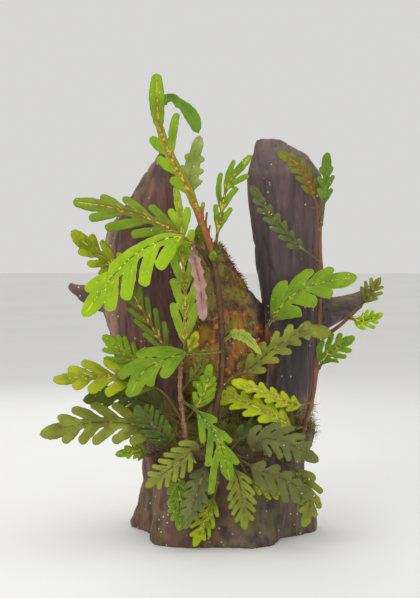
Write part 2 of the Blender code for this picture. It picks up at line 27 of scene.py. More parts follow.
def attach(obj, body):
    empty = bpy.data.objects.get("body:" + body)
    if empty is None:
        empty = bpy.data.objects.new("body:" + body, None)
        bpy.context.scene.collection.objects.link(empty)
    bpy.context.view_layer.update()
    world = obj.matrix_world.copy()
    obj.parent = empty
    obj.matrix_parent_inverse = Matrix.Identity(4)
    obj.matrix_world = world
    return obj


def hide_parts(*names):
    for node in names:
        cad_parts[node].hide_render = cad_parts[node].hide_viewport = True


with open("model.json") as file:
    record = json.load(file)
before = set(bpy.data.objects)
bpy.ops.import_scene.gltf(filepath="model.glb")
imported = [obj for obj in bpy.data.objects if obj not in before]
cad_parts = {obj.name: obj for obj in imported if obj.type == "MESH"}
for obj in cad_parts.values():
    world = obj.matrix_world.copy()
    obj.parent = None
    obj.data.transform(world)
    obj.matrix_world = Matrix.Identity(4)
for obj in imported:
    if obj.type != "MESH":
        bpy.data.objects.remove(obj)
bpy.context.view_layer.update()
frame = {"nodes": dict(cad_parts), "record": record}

LOG = logging.getLogger("hygrophila_on_driftwood")
MM = 0.001
BODY = "root"
LEDGE_HEIGHT = 76.0
JOINT_GAP = 0.3
FAR_AWAY = 1e9
Colour = tuple[float, float, float, float]
Span = tuple[float, float]
Triple = tuple[float, float, float]
Screen = tuple[int, int, int]
Faces = list[tuple[int, ...]]
Field = Callable[[np.ndarray], np.ndarray]


def srgb(screen: Screen) -> Colour:
    """Turns red, green and blue of 0 to 255 into the linear, opaque colour of a shader."""
    red, green, blue = (((v / 255 + 0.055) / 1.055) ** 2.4 if v > 10 else v / 3295 for v in screen)
    return (red, green, blue, 1.0)


def add_node(
    tree: bpy.types.NodeTree, kind: str, inputs: dict, **settings: object
) -> bpy.types.Node:
    """Adds a node to a tree.

    Args:
        tree: the tree.
        kind: the node's type.
        inputs: a value or another node's output for each of its sockets.
        settings: the node's own options.

    Returns:
        The new node.
    """
    node = tree.nodes.new(kind)
    for option, value in settings.items():
        setattr(node, option, value)
    for socket, value in inputs.items():
        if isinstance(value, bpy.types.NodeSocket):
            tree.links.new(value, node.inputs[socket])
        else:
            node.inputs[socket].default_value = value
    return node


# Finishes


class Sketch:
    """Draws the nodes of one material in short calls, coat over coat of colour."""

    def __init__(self, name: str, roughness: float) -> None:
        """Starts a material from its Principled shader.

        Args:
            name: the material's name.
            roughness: the roughness all over.
        """
        self.material = bpy.data.materials.new(name)
        self.material.use_nodes = True
        self.tree = self.material.node_tree
        self.shader = self.tree.nodes["Principled BSDF"]
        self.shader.inputs["Roughness"].default_value = roughness
        self.place = self.put("ShaderNodeTexCoord", {}).outputs["Object"]
        self.colour: object = None

    def put(self, kind: str, inputs: dict, **settings: object) -> bpy.types.Node:
        """Adds a node to the material's tree."""
        return add_node(self.tree, kind, inputs, **settings)

    def math(self, operation: str, *values: object) -> bpy.types.NodeSocket:
        """Adds one sum of the given values and returns its output."""
        return self.put("ShaderNodeMath", dict(enumerate(values)), operation=operation).outputs[0]

    def times(self, *values: object) -> object:
        """Multiplies values with one another.

        Args:
            values: numbers or sockets.

        Returns:
            Their product.
        """
        product = values[0]
        for value in values[1:]:
            product = self.math("MULTIPLY", product, value)
        return product

    def mix(self, share: object, low: object, high: object) -> bpy.types.NodeSocket:
        """Mixes two colours or vectors, the second by the share, and returns the result."""
        low, high = (srgb(value) if isinstance(value, tuple) else value for value in (low, high))
        return self.put("ShaderNodeMix", {0: share, 6: low, 7: high}, data_type="RGBA").outputs[2]

    def coat(self, colour: object, *shares: object) -> None:
        """Coats what is there with a colour, by the product of the shares."""
        self.colour = self.mix(self.times(*shares), self.colour, colour)

    def band(self, value: object, low: float, high: float) -> bpy.types.NodeSocket:
        """Tells how far a value is on its way from one edge to another.

        Args:
            value: the value.
            low: the edge at which the result is 0, which may be the higher one.
            high: the edge at which the result is 1.

        Returns:
            The share, smooth between the edges.
        """
        inputs = {"Value": value, "From Min": low, "From Max": high}
        if low > high:
            inputs.update({"From Min": high, "From Max": low, "To Min": 1.0, "To Max": 0.0})
        return self.put("ShaderNodeMapRange", inputs, interpolation_type="SMOOTHSTEP").outputs[0]

    def stretch(self, scale: Triple) -> bpy.types.NodeSocket:
        """Returns object coordinates, scaled by axis."""
        return self.put("ShaderNodeMapping", {"Vector": self.place, "Scale": scale}).outputs[0]

    def grain(self, scale: float, detail: float = 3.0, vector: object = None) -> bpy.types.NodeSocket:
        """Returns a noise of that many features per metre."""
        inputs = {"Vector": vector or self.place, "Scale": scale, "Detail": detail}
        return self.put("ShaderNodeTexNoise", inputs).outputs[0]

    def patches(self, grain: Span, low: float, high: float) -> bpy.types.NodeSocket:
        """Returns a noise of that scale and detail, 0 at low and 1 at high."""
        return self.band(self.grain(*grain), low, high)

    def specks(self, per_metre: float, radius: float) -> bpy.types.NodeSocket:
        """Draws small scattered dots.

        Args:
            per_metre: how many cells of one dot each lie along a metre.
            radius: a dot's radius as a share of its cell.

        Returns:
            1 inside the dots and 0 between them.
        """
        inputs = {"Vector": self.place, "Scale": per_metre}
        dots = self.put("ShaderNodeTexVoronoi", inputs).outputs["Distance"]
        return self.band(dots, radius, 0.6 * radius)

    def attribute(self, name: str, output: str = "Vector") -> bpy.types.NodeSocket:
        """Reads one of the mesh's own attributes."""
        return self.put("ShaderNodeAttribute", {}, attribute_name=name).outputs[output]

    def split(self, vector: object) -> tuple[bpy.types.NodeSocket, ...]:
        """Returns the three parts of a vector."""
        return tuple(self.put("ShaderNodeSeparateXYZ", {0: vector}).outputs)

    def finish(self, height: object, depth: float, strength: float = 0.6) -> bpy.types.Material:
        """Links the colour and a relief to the shader.

        Args:
            height: the relief, from 0 to 1.
            depth: its depth in millimetres.
            strength: how strongly it shows.

        Returns:
            The finished material.
        """
        relief = {"Height": height, "Distance": depth * MM, "Strength": strength}
        bump = self.put("ShaderNodeBump", relief)
        self.tree.links.new(self.colour, self.shader.inputs["Base Color"])
        self.tree.links.new(bump.outputs[0], self.shader.inputs["Normal"])
        return self.material


@dataclass(frozen=True)
class Finish:
    """A named look, painted when a piece first asks for it."""

    name: str

    def material(self) -> bpy.types.Material:
        """Returns the finish as a material, made once."""
        return bpy.data.materials.get(self.name) or self.paint()

    def paint(self) -> bpy.types.Material:
        """Draws the material, each kind of finish in its own way."""
        raise NotImplementedError


@dataclass(frozen=True)
class LeafFinish(Finish):
    """The look of one kind of blade.

    light is the colour of the lobe tips, shade that of the blade near its petiole,
    rib that of the midrib, gold that of the vein ends beside it, stalk that of the
    petiole, edge that of a thin band along the rim, which is painted rim light: a
    painted highlight where it is pale and a painted dark outline where it is dark,
    and debris that of what has settled on the blade.
    rib_width is half the width of the midrib's stripe, umber how brown the blade is
    along the midrib, gold_reach how far from it gold veins are seen, gilding how
    strongly, shaded how much darker the blade is near its petiole, and vein_share
    how dark the side veins are.
    """

    base: Screen
    light: Screen
    shade: Screen
    rib: Screen
    gold: Screen
    stalk: Screen = (112, 88, 50)
    edge: Screen = (70, 88, 34)
    debris: Screen = (228, 232, 206)
    rib_width: float = 0.55
    umber: float = 0.35
    gold_reach: float = 3.6
    gilding: float = 0.9
    shaded: float = 0.6
    vein_share: float = 0.35

    ROUGHNESS: ClassVar[float] = 0.5
    GLOSS: ClassVar[float] = 0.18
    GLOW: ClassVar[float] = 0.12
    GLOW_BY_COLOUR: ClassVar[Triple] = (0.5, 1.0, 0.1)
    MOTTLING: ClassVar[Span] = (85, 2.0)
    CLOUDS: ClassVar[Span] = (230, 4.0)
    BROWN_EDGE: ClassVar[Span] = (160, 3.0)
    VEIN_WOBBLE: ClassVar[Span] = (700, 1.0)
    GOLD_DASHES: ClassVar[Span] = (420, 1.0)
    RIB_BEADS: ClassVar[Span] = (420, 2.0)
    DUSTY_PARTS: ClassVar[Span] = (60, 1.0)
    PORES: ClassVar[Span] = (1100, 2.0)
    PUCKERS: ClassVar[Span] = (260, 2.0)
    RELIEF_DEPTH: ClassVar[float] = 0.35

    def paint(self) -> bpy.types.Material:
        """Draws the blade's mottling, veins, midrib, petiole, painted rim light and debris.

        Returns:
            The material.
        """
        pen = Sketch(self.name, self.ROUGHNESS)
        along, across, rim = pen.split(pen.attribute("sheet_place"))
        share, lobe_share, tone = pen.split(pen.attribute("blade_shape"))
        vein_offset = pen.math("ABSOLUTE", pen.attribute("vein_offset", "Fac"))
        from_rib = pen.math("ABSOLUTE", across)
        pen.colour = pen.mix(pen.patches(self.MOTTLING, 0.36, 0.66), self.base, self.light)
        pen.coat(self.shade, pen.patches(self.CLOUDS, 0.46, 0.72), 0.45)
        pen.coat(self.shade, pen.band(share, 0.5, 0.0), self.shaded)
        pen.coat(self.light, pen.band(tone, 0.45, 1.0), 0.5)
        pen.coat(self.shade, pen.band(tone, 0.55, 0.0), 0.45)
        pen.coat(self.light, pen.band(lobe_share, 0.45, 1.0), 0.5)
        fading = pen.band(share, 0.92, 0.68)
        ragged = pen.math("ADD", from_rib, pen.times(pen.grain(*self.BROWN_EDGE), 4.0))
        pen.coat(self.stalk, pen.band(ragged, 5.4, 2.0), fading, self.umber)
        wobble = pen.math("ADD", vein_offset, pen.times(pen.grain(*self.VEIN_WOBBLE), 0.25))
        vein = pen.times(pen.band(wobble, 0.52, 0.2), pen.band(lobe_share, 0.95, 0.35))
        pen.coat(self.shade, vein, self.vein_share)
        gilt = pen.band(wobble, 0.58, 0.32)
        near_rib = pen.band(from_rib, self.gold_reach, 0.6 * self.gold_reach)
        dashes = pen.patches(self.GOLD_DASHES, 0.46, 0.53)
        pen.coat(self.gold, gilt, near_rib, dashes, self.gilding)
        stripe = pen.math("DIVIDE", from_rib, pen.math("SUBTRACT", 1.35, share))
        rib = pen.band(stripe, 1.1 * self.rib_width, 0.6 * self.rib_width)
        rib_colour = pen.mix(pen.patches(self.RIB_BEADS, 0.46, 0.62), self.rib, self.gold)
        pen.coat(rib_colour, rib, pen.math("ADD", pen.times(fading, 0.75), 0.15))
        pen.coat(self.stalk, pen.band(along, 0.25, -0.25), 0.8)
        # Painted rim light: a thin band along the rim in the edge colour, a painted highlight where it
        # is pale and a painted dark outline where it is dark.
        pen.coat(self.edge, pen.band(rim, 0.4, 0.12), 0.55)
        dusty = pen.patches(self.DUSTY_PARTS, 0.52, 0.6)
        pen.coat(self.debris, pen.specks(260, 0.13), dusty, 0.85)
        relief = pen.math("ADD", pen.times(pen.grain(*self.PORES), 0.35), pen.grain(*self.PUCKERS))
        relief = pen.math("SUBTRACT", relief, pen.times(vein, 0.9))
        pen.shader.inputs["Specular IOR Level"].default_value = self.GLOSS
        pen.shader.inputs["Subsurface Weight"].default_value = self.GLOW
        pen.shader.inputs["Subsurface Radius"].default_value = self.GLOW_BY_COLOUR
        pen.shader.inputs["Subsurface Scale"].default_value = MM
        return pen.finish(relief, self.RELIEF_DEPTH)


@dataclass(frozen=True)
class StemFinish(Finish):
    """The look of a stem: its bark, its node rings, its younger colour towards the tip, painted light on
    its side that faces up, and its flecks.
    """

    bark: Screen
    ring: Screen
    young: Screen
    fleck: Screen = (215, 190, 170)

    ROUGHNESS: ClassVar[float] = 0.4
    STREAKS: ClassVar[Span] = (500, 3.0)
    STREAK_STRETCH: ClassVar[Triple] = (1.0, 1.0, 0.12)
    FLECKED_PARTS: ClassVar[Span] = (90, 1.0)
    PORES: ClassVar[Span] = (1500, 2.0)
    RELIEF_DEPTH: ClassVar[float] = 0.4

    def paint(self) -> bpy.types.Material:
        """Draws the bark's streaks, its rings and its flecks.

        Returns:
            The material.
        """
        pen = Sketch(self.name, self.ROUGHNESS)
        share, node, painted_light_side = pen.split(pen.attribute("stem_place"))
        streaks = pen.grain(*self.STREAKS, pen.stretch(self.STREAK_STRETCH))
        pen.colour = pen.mix(pen.band(streaks, 0.4, 0.68), self.bark, self.ring)
        pen.coat(self.young, pen.band(share, 0.5, 1.0), 0.7)
        pen.coat(self.ring, pen.band(node, 0.35, 1.0), 0.75)
        # Painted light: the side that faces up is lightened with the young colour.
        pen.coat(self.young, pen.band(painted_light_side, 0.2, 0.9), 0.25)
        pen.coat(self.fleck, pen.specks(330, 0.1), pen.patches(self.FLECKED_PARTS, 0.5, 0.62), 0.7)
        relief = pen.math("ADD", streaks, pen.times(pen.grain(*self.PORES), 0.3))
        return pen.finish(relief, self.RELIEF_DEPTH)


@dataclass(frozen=True)
class WoodFinish(Finish):
    """The look of the driftwood, from its reddish left limb to its grey right one.

    The right limb is paler near its top and in shade along its inner edge, and the
    left one is bleached along its worn front edge. Where such a part begins and where
    it is full are places in metres, as the shader gives them. A grain is a pair of
    how many features it has per metre and how much detail.
    """

    name: str = "weathered_driftwood"
    reddish: Screen = (120, 80, 70)
    reddish_deep: Screen = (82, 56, 53)
    greyish: Screen = (98, 80, 77)
    greyish_pale: Screen = (109, 86, 86)
    greyish_dim: Screen = (88, 71, 72)
    greyish_deep: Screen = (64, 52, 53)
    rust: Screen = (210, 112, 30)
    ember: Screen = (240, 152, 30)
    moss: Screen = (164, 150, 46)
    bleached: Screen = (176, 142, 116)
    crumb: Screen = (226, 214, 206)

    ROUGHNESS: ClassVar[float] = 0.62
    UPRIGHT_GRAIN: ClassVar[Triple] = (1.0, 1.0, 0.07)
    LYING_GRAIN: ClassVar[Triple] = (0.07, 1.0, 1.0)
    FIBRES: ClassVar[Span] = (620, 4.0)
    STREAKS: ClassVar[Span] = (150, 4.0)
    BLOTCHES: ClassVar[Span] = (26, 3.0)
    RUSTY_PARTS: ClassVar[Span] = (75, 4.0)
    EMBERS: ClassVar[Span] = (170, 3.0)
    MOSSY_PARTS: ClassVar[Span] = (110, 4.0)
    CRUMBLY_PARTS: ClassVar[Span] = (42, 2.0)
    PORES: ClassVar[Span] = (900, 3.0)
    LEFT_TO_RIGHT: ClassVar[Span] = (-0.002, 0.05)
    PALER_ABOVE: ClassVar[Span] = (0.13, 0.215)
    DIMMER_ABOVE: ClassVar[Span] = (0.14, 0.23)
    SHADE_FOOT: ClassVar[Span] = (0.13, 0.155)
    SHADE_TOP: ClassVar[Span] = (0.242, 0.215)
    SHADE_SLANT: ClassVar[float] = 0.375
    SHADE_ACROSS: ClassVar[Span] = (0.13, 0.116)
    EDGE_SLANT: ClassVar[float] = 0.15
    EDGE_ACROSS: ClassVar[Span] = (0.056, 0.062)
    WORN_LEFT: ClassVar[Span] = (-0.059, -0.067)
    WORN_FRONT: ClassVar[Span] = (0.0, -0.006)
    RELIEF_DEPTH: ClassVar[float] = 0.9
    RELIEF_STRENGTH: ClassVar[float] = 0.8

    def shady(self, pen: Sketch, x: object, z: object, blotches: object) -> object:
        """Tells where the right limb's inner edge lies in shade.

        Args:
            pen: the material's sketch.
            x: how far to the right a place is.
            z: how high it is.
            blotches: what makes the shade's edge uneven.

        Returns:
            1 in the full shade and 0 outside it.
        """
        slant = pen.math("ADD", x, pen.times(z, self.SHADE_SLANT))
        slant = pen.math("ADD", slant, pen.times(blotches, 0.012))
        inner_edge = pen.math("ADD", x, pen.times(z, self.EDGE_SLANT))
        across = pen.band(slant, *self.SHADE_ACROSS)
        across = pen.times(across, pen.band(inner_edge, *self.EDGE_ACROSS))
        return pen.times(across, pen.band(z, *self.SHADE_FOOT), pen.band(z, *self.SHADE_TOP))

    def paint(self) -> bpy.types.Material:
        """Draws the grain, the two limbs' colours, rust, moss, bleaching and crumbs.

        Returns:
            The material.
        """
        pen = Sketch(self.name, self.ROUGHNESS)
        moss_share, rust_share, branch = pen.split(pen.attribute("wood_place"))
        upright, lying = pen.stretch(self.UPRIGHT_GRAIN), pen.stretch(self.LYING_GRAIN)
        grain_place = pen.mix(branch, upright, lying)
        fibres = pen.grain(*self.FIBRES, grain_place)
        streaks = pen.grain(*self.STREAKS, grain_place)
        blotches = pen.grain(*self.BLOTCHES)
        x, y, z = pen.split(pen.place)
        ragged_x = pen.math("ADD", x, pen.times(blotches, 0.02))
        to_right = pen.band(ragged_x, *self.LEFT_TO_RIGHT)
        greyish = pen.mix(pen.band(z, *self.PALER_ABOVE), self.greyish, self.greyish_pale)
        greyish_deep = pen.mix(pen.band(z, *self.DIMMER_ABOVE), self.greyish_deep, self.greyish_dim)
        plain = pen.mix(to_right, self.reddish, greyish)
        deep = pen.mix(to_right, self.reddish_deep, greyish_deep)
        pen.colour = pen.mix(pen.band(streaks, 0.38, 0.62), deep, plain)
        pen.coat(deep, pen.band(blotches, 0.55, 0.4), 0.6)
        pen.coat(self.bleached, pen.band(fibres, 0.58, 0.8), 0.35)
        pen.coat(self.greyish_deep, self.shady(pen, x, z, blotches), 0.8)
        pen.coat(self.rust, rust_share, pen.patches(self.RUSTY_PARTS, 0.46, 0.6), 0.85)
        pen.coat(self.moss, moss_share, pen.patches(self.MOSSY_PARTS, 0.38, 0.58), 0.8)
        pen.coat(self.ember, rust_share, pen.patches(self.EMBERS, 0.56, 0.66), 0.8)
        worn_edge = pen.times(pen.band(x, *self.WORN_LEFT), pen.band(y, *self.WORN_FRONT))
        pen.coat(self.bleached, worn_edge, pen.band(streaks, 0.36, 0.56), 0.6)
        pen.coat(self.crumb, pen.specks(230, 0.17), pen.patches(self.CRUMBLY_PARTS, 0.5, 0.58), 0.9)
        relief = pen.math("ADD", pen.times(fibres, 0.6), pen.times(streaks, 1.2))
        relief = pen.math("ADD", relief, pen.times(pen.grain(*self.PORES), 0.35))
        return pen.finish(relief, self.RELIEF_DEPTH, self.RELIEF_STRENGTH)


@dataclass(frozen=True)
class FibreFinish(Finish):
    """The look of small plain stuff; high is its colour at the spur's top right."""

    dark: Screen
    light: Screen
    high: Screen

    ROUGHNESS: ClassVar[float] = 0.7
    CLUMPS: ClassVar[Span] = (140, 3.0)
    HIGH_PARTS: ClassVar[Span] = (90, 2.0)
    PORES: ClassVar[Span] = (2400, 2.0)
    HIGH_RIGHT: ClassVar[Span] = (0.008, 0.015)
    HIGH_UP: ClassVar[Span] = (0.15, 0.164)
    RELIEF_DEPTH: ClassVar[float] = 0.1

    def paint(self) -> bpy.types.Material:
        """Draws the clumps, and the colour of those high up.

        Returns:
            The material.
        """
        pen = Sketch(self.name, self.ROUGHNESS)
        pen.colour = pen.mix(pen.patches(self.CLUMPS, 0.35, 0.68), self.dark, self.light)
        x, _, z = pen.split(pen.place)
        high = pen.times(pen.band(x, *self.HIGH_RIGHT), pen.band(z, *self.HIGH_UP))
        pen.coat(self.high, high, pen.patches(self.HIGH_PARTS, 0.3, 0.5))
        return pen.finish(pen.grain(*self.PORES), self.RELIEF_DEPTH)


BRIGHT = LeafFinish(
    "bright_leaf", (124, 168, 4), (158, 192, 12), (84, 120, 20),
    (70, 80, 26), (232, 224, 70), (104, 92, 38), (204, 222, 116),
    umber=0.14, gold_reach=5.5, shaded=0.4,
)
FRESH = LeafFinish(
    "fresh_leaf", (104, 144, 18), (136, 172, 26), (92, 98, 32),
    (142, 104, 38), (226, 204, 78), (92, 68, 44),
    gold_reach=2.6, gilding=0.75,
)
SUNLIT = LeafFinish(
    "sunlit_leaf", (130, 166, 28), (166, 198, 44), (126, 124, 42),
    (160, 112, 44), (238, 208, 80), (116, 86, 42), (186, 206, 104),
    gold_reach=3.0, shaded=0.4, umber=0.3,
)
FOREST = LeafFinish(
    "forest_leaf", (101, 139, 20), (130, 161, 28), (72, 96, 30),
    (52, 72, 26), (196, 200, 84), (84, 66, 38), (158, 186, 92),
    rib_width=0.45, umber=0.12, gold_reach=2.8, gilding=0.75,
)
PALE = LeafFinish(
    "pale_young_leaf", (138, 158, 52), (166, 182, 72), (112, 124, 44),
    (112, 116, 48), (150, 150, 70), (108, 92, 44), (190, 204, 110),
    rib_width=0.35, umber=0.1, gold_reach=1.2, gilding=0.2, vein_share=0.5,
)
SAGE = LeafFinish(
    "sage_leaf", (136, 156, 64), (166, 180, 90), (118, 124, 50),
    (122, 100, 52), (150, 140, 80), (112, 96, 50), (92, 108, 66),
    rib_width=0.35, umber=0.35, gold_reach=1.2, gilding=0.2,
)
SAP = LeafFinish(
    "sap_green_leaf", (92, 128, 34), (112, 150, 42), (76, 98, 34),
    (78, 88, 34), (150, 160, 76), (104, 92, 46), (96, 116, 60),
    rib_width=0.4, umber=0.15, gold_reach=1.2, gilding=0.2,
)
TAWNY = LeafFinish(
    "tawny_leaf", (106, 108, 40), (128, 134, 46), (98, 80, 42),
    (150, 92, 44), (196, 150, 70), (142, 90, 50),
    rib_width=0.7, umber=0.8, gold_reach=2.0, gilding=0.4,
)
YELLOW = LeafFinish(
    "yellow_leaf", (138, 156, 6), (182, 196, 14), (94, 96, 24),
    (128, 104, 38), (226, 214, 96), shaded=0.85, gilding=0.7,
)
OLIVE = LeafFinish(
    "olive_leaf_blade", (114, 120, 42), (148, 154, 52), (80, 82, 36),
    (70, 68, 32), (150, 150, 70), gold_reach=2.6, gilding=0.5,
)
KHAKI = LeafFinish(
    "khaki_leaf", (130, 136, 50), (164, 170, 60), (96, 96, 42),
    (80, 76, 36), (166, 164, 78), gold_reach=2.6, gilding=0.5,
)
FADED = LeafFinish(
    "faded_leaf", (90, 96, 46), (114, 122, 56), (104, 88, 68),
    (72, 62, 44), (140, 140, 84), (96, 78, 56), (118, 120, 74),
    rib_width=0.4, umber=0.5, gold_reach=2.0, gilding=0.25, shaded=0.75,
)
# Painted shade: a darker copy of the leaf greens, for the leaves that sit in shade low among the others.
PAINTED_SHADE_GREEN = LeafFinish(
    "dusky_leaf", (78, 92, 36), (100, 118, 44), (54, 62, 32),
    (54, 54, 30), (118, 124, 60), gold_reach=2.4, gilding=0.4,
)
GREYISH = LeafFinish(
    "greyish_leaf", (94, 104, 58), (118, 128, 66), (70, 76, 50),
    (68, 70, 46), (138, 144, 84), gold_reach=2.4, gilding=0.4,
)
MOTTLED = LeafFinish(
    "mottled_leaf", (92, 112, 26), (114, 142, 32), (88, 76, 34),
    (136, 88, 38), (222, 188, 84), (120, 80, 42), rib_width=0.7, umber=0.7,
)
PATCHY = LeafFinish(
    "patchy_leaf", (96, 124, 20), (120, 146, 26), (98, 82, 36),
    (138, 92, 40), (226, 196, 84), (122, 84, 42), rib_width=0.7, umber=0.7,
)
MAUVE = LeafFinish(
    "mauve_leaf", (172, 136, 122), (192, 158, 144), (146, 106, 96),
    (128, 80, 80), (176, 130, 110), (140, 96, 88), rib_width=0.7, vein_share=0.6,
)
TALL = LeafFinish(
    "tall_leaf", (116, 156, 26), (146, 182, 36), (146, 98, 40),
    (160, 108, 48), (232, 194, 72), (150, 88, 58), rib_width=1.35,
    umber=0.7, shaded=0.8,
)
BROWN_BARK = StemFinish("brown_stem_bark", (66, 42, 26), (108, 68, 42), (104, 72, 42))
RUST_BARK = StemFinish("rust_stem_bark", (112, 66, 42), (150, 96, 60), (122, 84, 44))
PINK_BARK = StemFinish("pink_stem_bark", (146, 88, 74), (192, 138, 116), (142, 124, 60))
MOSS = FibreFinish("moss_fronds", (118, 106, 36), (186, 168, 64), (180, 108, 72))
LEDGE_MOSS = FibreFinish("ledge_moss", (126, 126, 56), (192, 188, 102), (192, 188, 102))
ROOT_HAIR = FibreFinish("root_hairs", (92, 62, 46), (156, 118, 88), (156, 118, 88))


# Curves


def smooth_curve(control: np.ndarray, shares: np.ndarray) -> np.ndarray:
    """Reads a smooth curve that passes through its points.

    Args:
        control: the points, one a row.
        shares: where to read it, from 0 at the first point to 1 at the last.

    Returns:
        One point a row for each share.
    """
    spans = len(control) - 1
    padded = np.vstack([2 * control[0] - control[1], control, 2 * control[-1] - control[-2]])
    place = np.clip(shares, 0.0, 1.0) * spans
    first = np.minimum(place.astype(int), spans - 1)
    t = (place - first)[:, None]
    p0, p1, p2, p3 = (padded[first + k] for k in range(4))
    return 0.5 * (
        2 * p1
        + (p2 - p0) * t
        + (2 * p0 - 5 * p1 + 4 * p2 - p3) * t**2
        + (3 * p1 - p0 - 3 * p2 + p3) * t**3
    )


def unit(rows: np.ndarray) -> np.ndarray:
    """Returns the rows at length 1."""
    return rows / np.maximum(np.linalg.norm(rows, axis=1, keepdims=True), 1e-9)


def ease(values: np.ndarray, low: float, high: float) -> np.ndarray:
    """Returns 0 below low, 1 above high, and a smooth step between them."""
    share = np.clip((values - low) / (high - low), 0.0, 1.0)
    return share * share * (3 - 2 * share)


def fall(values: np.ndarray, low: float, high: float) -> np.ndarray:
    """Returns 1 below low, 0 above high, and a smooth step between them."""
    return ease(-values, -high, -low)


class Guide:
    """A smooth centre line with a frame of directions along it."""

    SAMPLES = 160

    def __init__(self, control: list[Triple], face: Triple) -> None:
        """Measures the line.

        Args:
            control: the points that it passes through.
            face: the direction that a sheet laid on it looks.
        """
        shares = np.linspace(0.0, 1.0, self.SAMPLES + 1)
        self.centre = smooth_curve(np.array(control, float), shares)
        steps = np.linalg.norm(np.diff(self.centre, axis=0), axis=1)
        self.arc = np.concatenate(([0.0], np.cumsum(steps)))
        self.length = float(self.arc[-1])
        self.tangent = unit(np.gradient(self.centre, self.arc, axis=0))
        self.side = unit(np.cross(self.tangent, np.array(face, float)))
        self.top = np.cross(self.side, self.tangent)

    def read(self, rows: np.ndarray, along: np.ndarray) -> np.ndarray:
        """Reads a value that is held along the line at distances from its start."""
        return np.stack([np.interp(along, self.arc, rows[:, k]) for k in range(3)], axis=1)

    def lay(self, along: np.ndarray, across: np.ndarray, height: np.ndarray) -> np.ndarray:
        """Lays flat points on the bent sheet, and past its ends on a straight one.

        Args:
            along: the distance along the line.
            across: the distance to its side.
            height: the height above the sheet.

        Returns:
            The points in space.
        """
        tangent = unit(self.read(self.tangent, along))
        side = unit(self.read(self.side, along))
        top = np.cross(side, tangent)
        past = (along - np.clip(along, 0.0, self.length))[:, None]
        centre = self.read(self.centre, along) + tangent * past
        return centre + side * across[:, None] + top * height[:, None]


# Meshes


def make_piece(
    name: str,
    points: np.ndarray,
    faces: Faces,
    material: bpy.types.Material,
    attributes: dict[str, np.ndarray],
) -> bpy.types.Object:
    """Makes one smooth object at the origin.

    Args:
        name: the piece's name.
        points: its points in millimetres.
        faces: its faces.
        material: its material.
        attributes: a number or a vector for each point, by name.

    Returns:
        The object, linked to the scene.
    """
    mesh = bpy.data.meshes.new(name)
    mesh.from_pydata((points * MM).tolist(), [], faces)
    for label, values in attributes.items():
        kind, field = ("FLOAT", "value") if values.ndim == 1 else ("FLOAT_VECTOR", "vector")
        layer = mesh.attributes.new(label, kind, "POINT")
        layer.data.foreach_set(field, values.astype(np.float32).ravel())
    mesh.materials.append(material)
    mesh.shade_smooth()
    return link_object(name, mesh)


def link_object(name: str, data: bpy.types.ID) -> bpy.types.Object:
    """Makes an object of a mesh, light or camera.

    Args:
        name: the object's name.
        data: what it shows.

    Returns:
        The object, linked to the scene.
    """
    thing = bpy.data.objects.new(name, data)
    bpy.context.scene.collection.objects.link(thing)
    return thing


def finished_mesh(thing: bpy.types.Object) -> bpy.types.Mesh:
    """Returns a plain mesh of an object with its modifiers."""
    depsgraph = bpy.context.evaluated_depsgraph_get()
    return bpy.data.meshes.new_from_object(thing.evaluated_get(depsgraph))


def dress(piece: bpy.types.Object, slot: str, *solids: str) -> None:
    """Puts a finished piece on the body, in place of the solids that it covers.

    Args:
        piece: the piece.
        slot: its material slot. It is not used.
        solids: the solids' nodes, if it takes the place of any.
    """
    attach(piece, BODY)
    if solids:
        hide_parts(*solids)
    LOG.info("%s: %d faces", piece.name, len(piece.data.polygons))


def settle(field: Field, flat: np.ndarray) -> np.ndarray:
    """Moves flat points onto the outline, where the field is zero.

    Args:
        field: the signed distance to the outline, negative inside.
        flat: points close to it.

    Returns:
        The moved points.
    """
    probe, rounds, least_slope, longest_move = 0.05, 2, 0.3, 0.4
    for _ in range(rounds):
        value = field(flat)
        slope_x = (field(flat + (probe, 0.0)) - value) / probe
        slope_y = (field(flat + (0.0, probe)) - value) / probe
        steep = np.maximum(slope_x**2 + slope_y**2, least_slope)
        move = np.stack([slope_x, slope_y], axis=1) * (value / steep)[:, None]
        flat = flat - np.clip(move, -longest_move, longest_move)
    return flat


def triangle_grid(low: Span, high: Span, step: float) -> tuple[np.ndarray, np.ndarray]:
    """Covers a box with even triangles.

    Args:
        low: the box's lowest corner.
        high: its highest corner.
        step: the triangles' size.

    Returns:
        The flat points, one row of them on the midrib, and the triangles' corners.
    """
    rise = step * math.sqrt(0.75)
    down = math.ceil(-low[1] / rise) + 1
    rows = down + math.ceil(high[1] / rise) + 2
    columns = math.ceil((high[0] - low[0]) / step) + 2
    row, column = np.mgrid[0:rows, 0:columns]
    flat = np.stack(
        [(low[0] + (column + 0.5 * (row % 2)) * step).ravel(), ((row - down) * rise).ravel()],
        axis=1,
    )
    corner = (row * columns + column)[:-1, :-1]
    even = (row % 2 == 0)[:-1, :-1]
    a, b, c, d = corner, corner + 1, corner + columns, corner + columns + 1
    first = np.stack([a, b, np.where(even, c, d)], axis=-1).reshape(-1, 3)
    second = np.stack([np.where(even, b, a), d, c], axis=-1).reshape(-1, 3)
    return flat, np.concatenate([first, second])


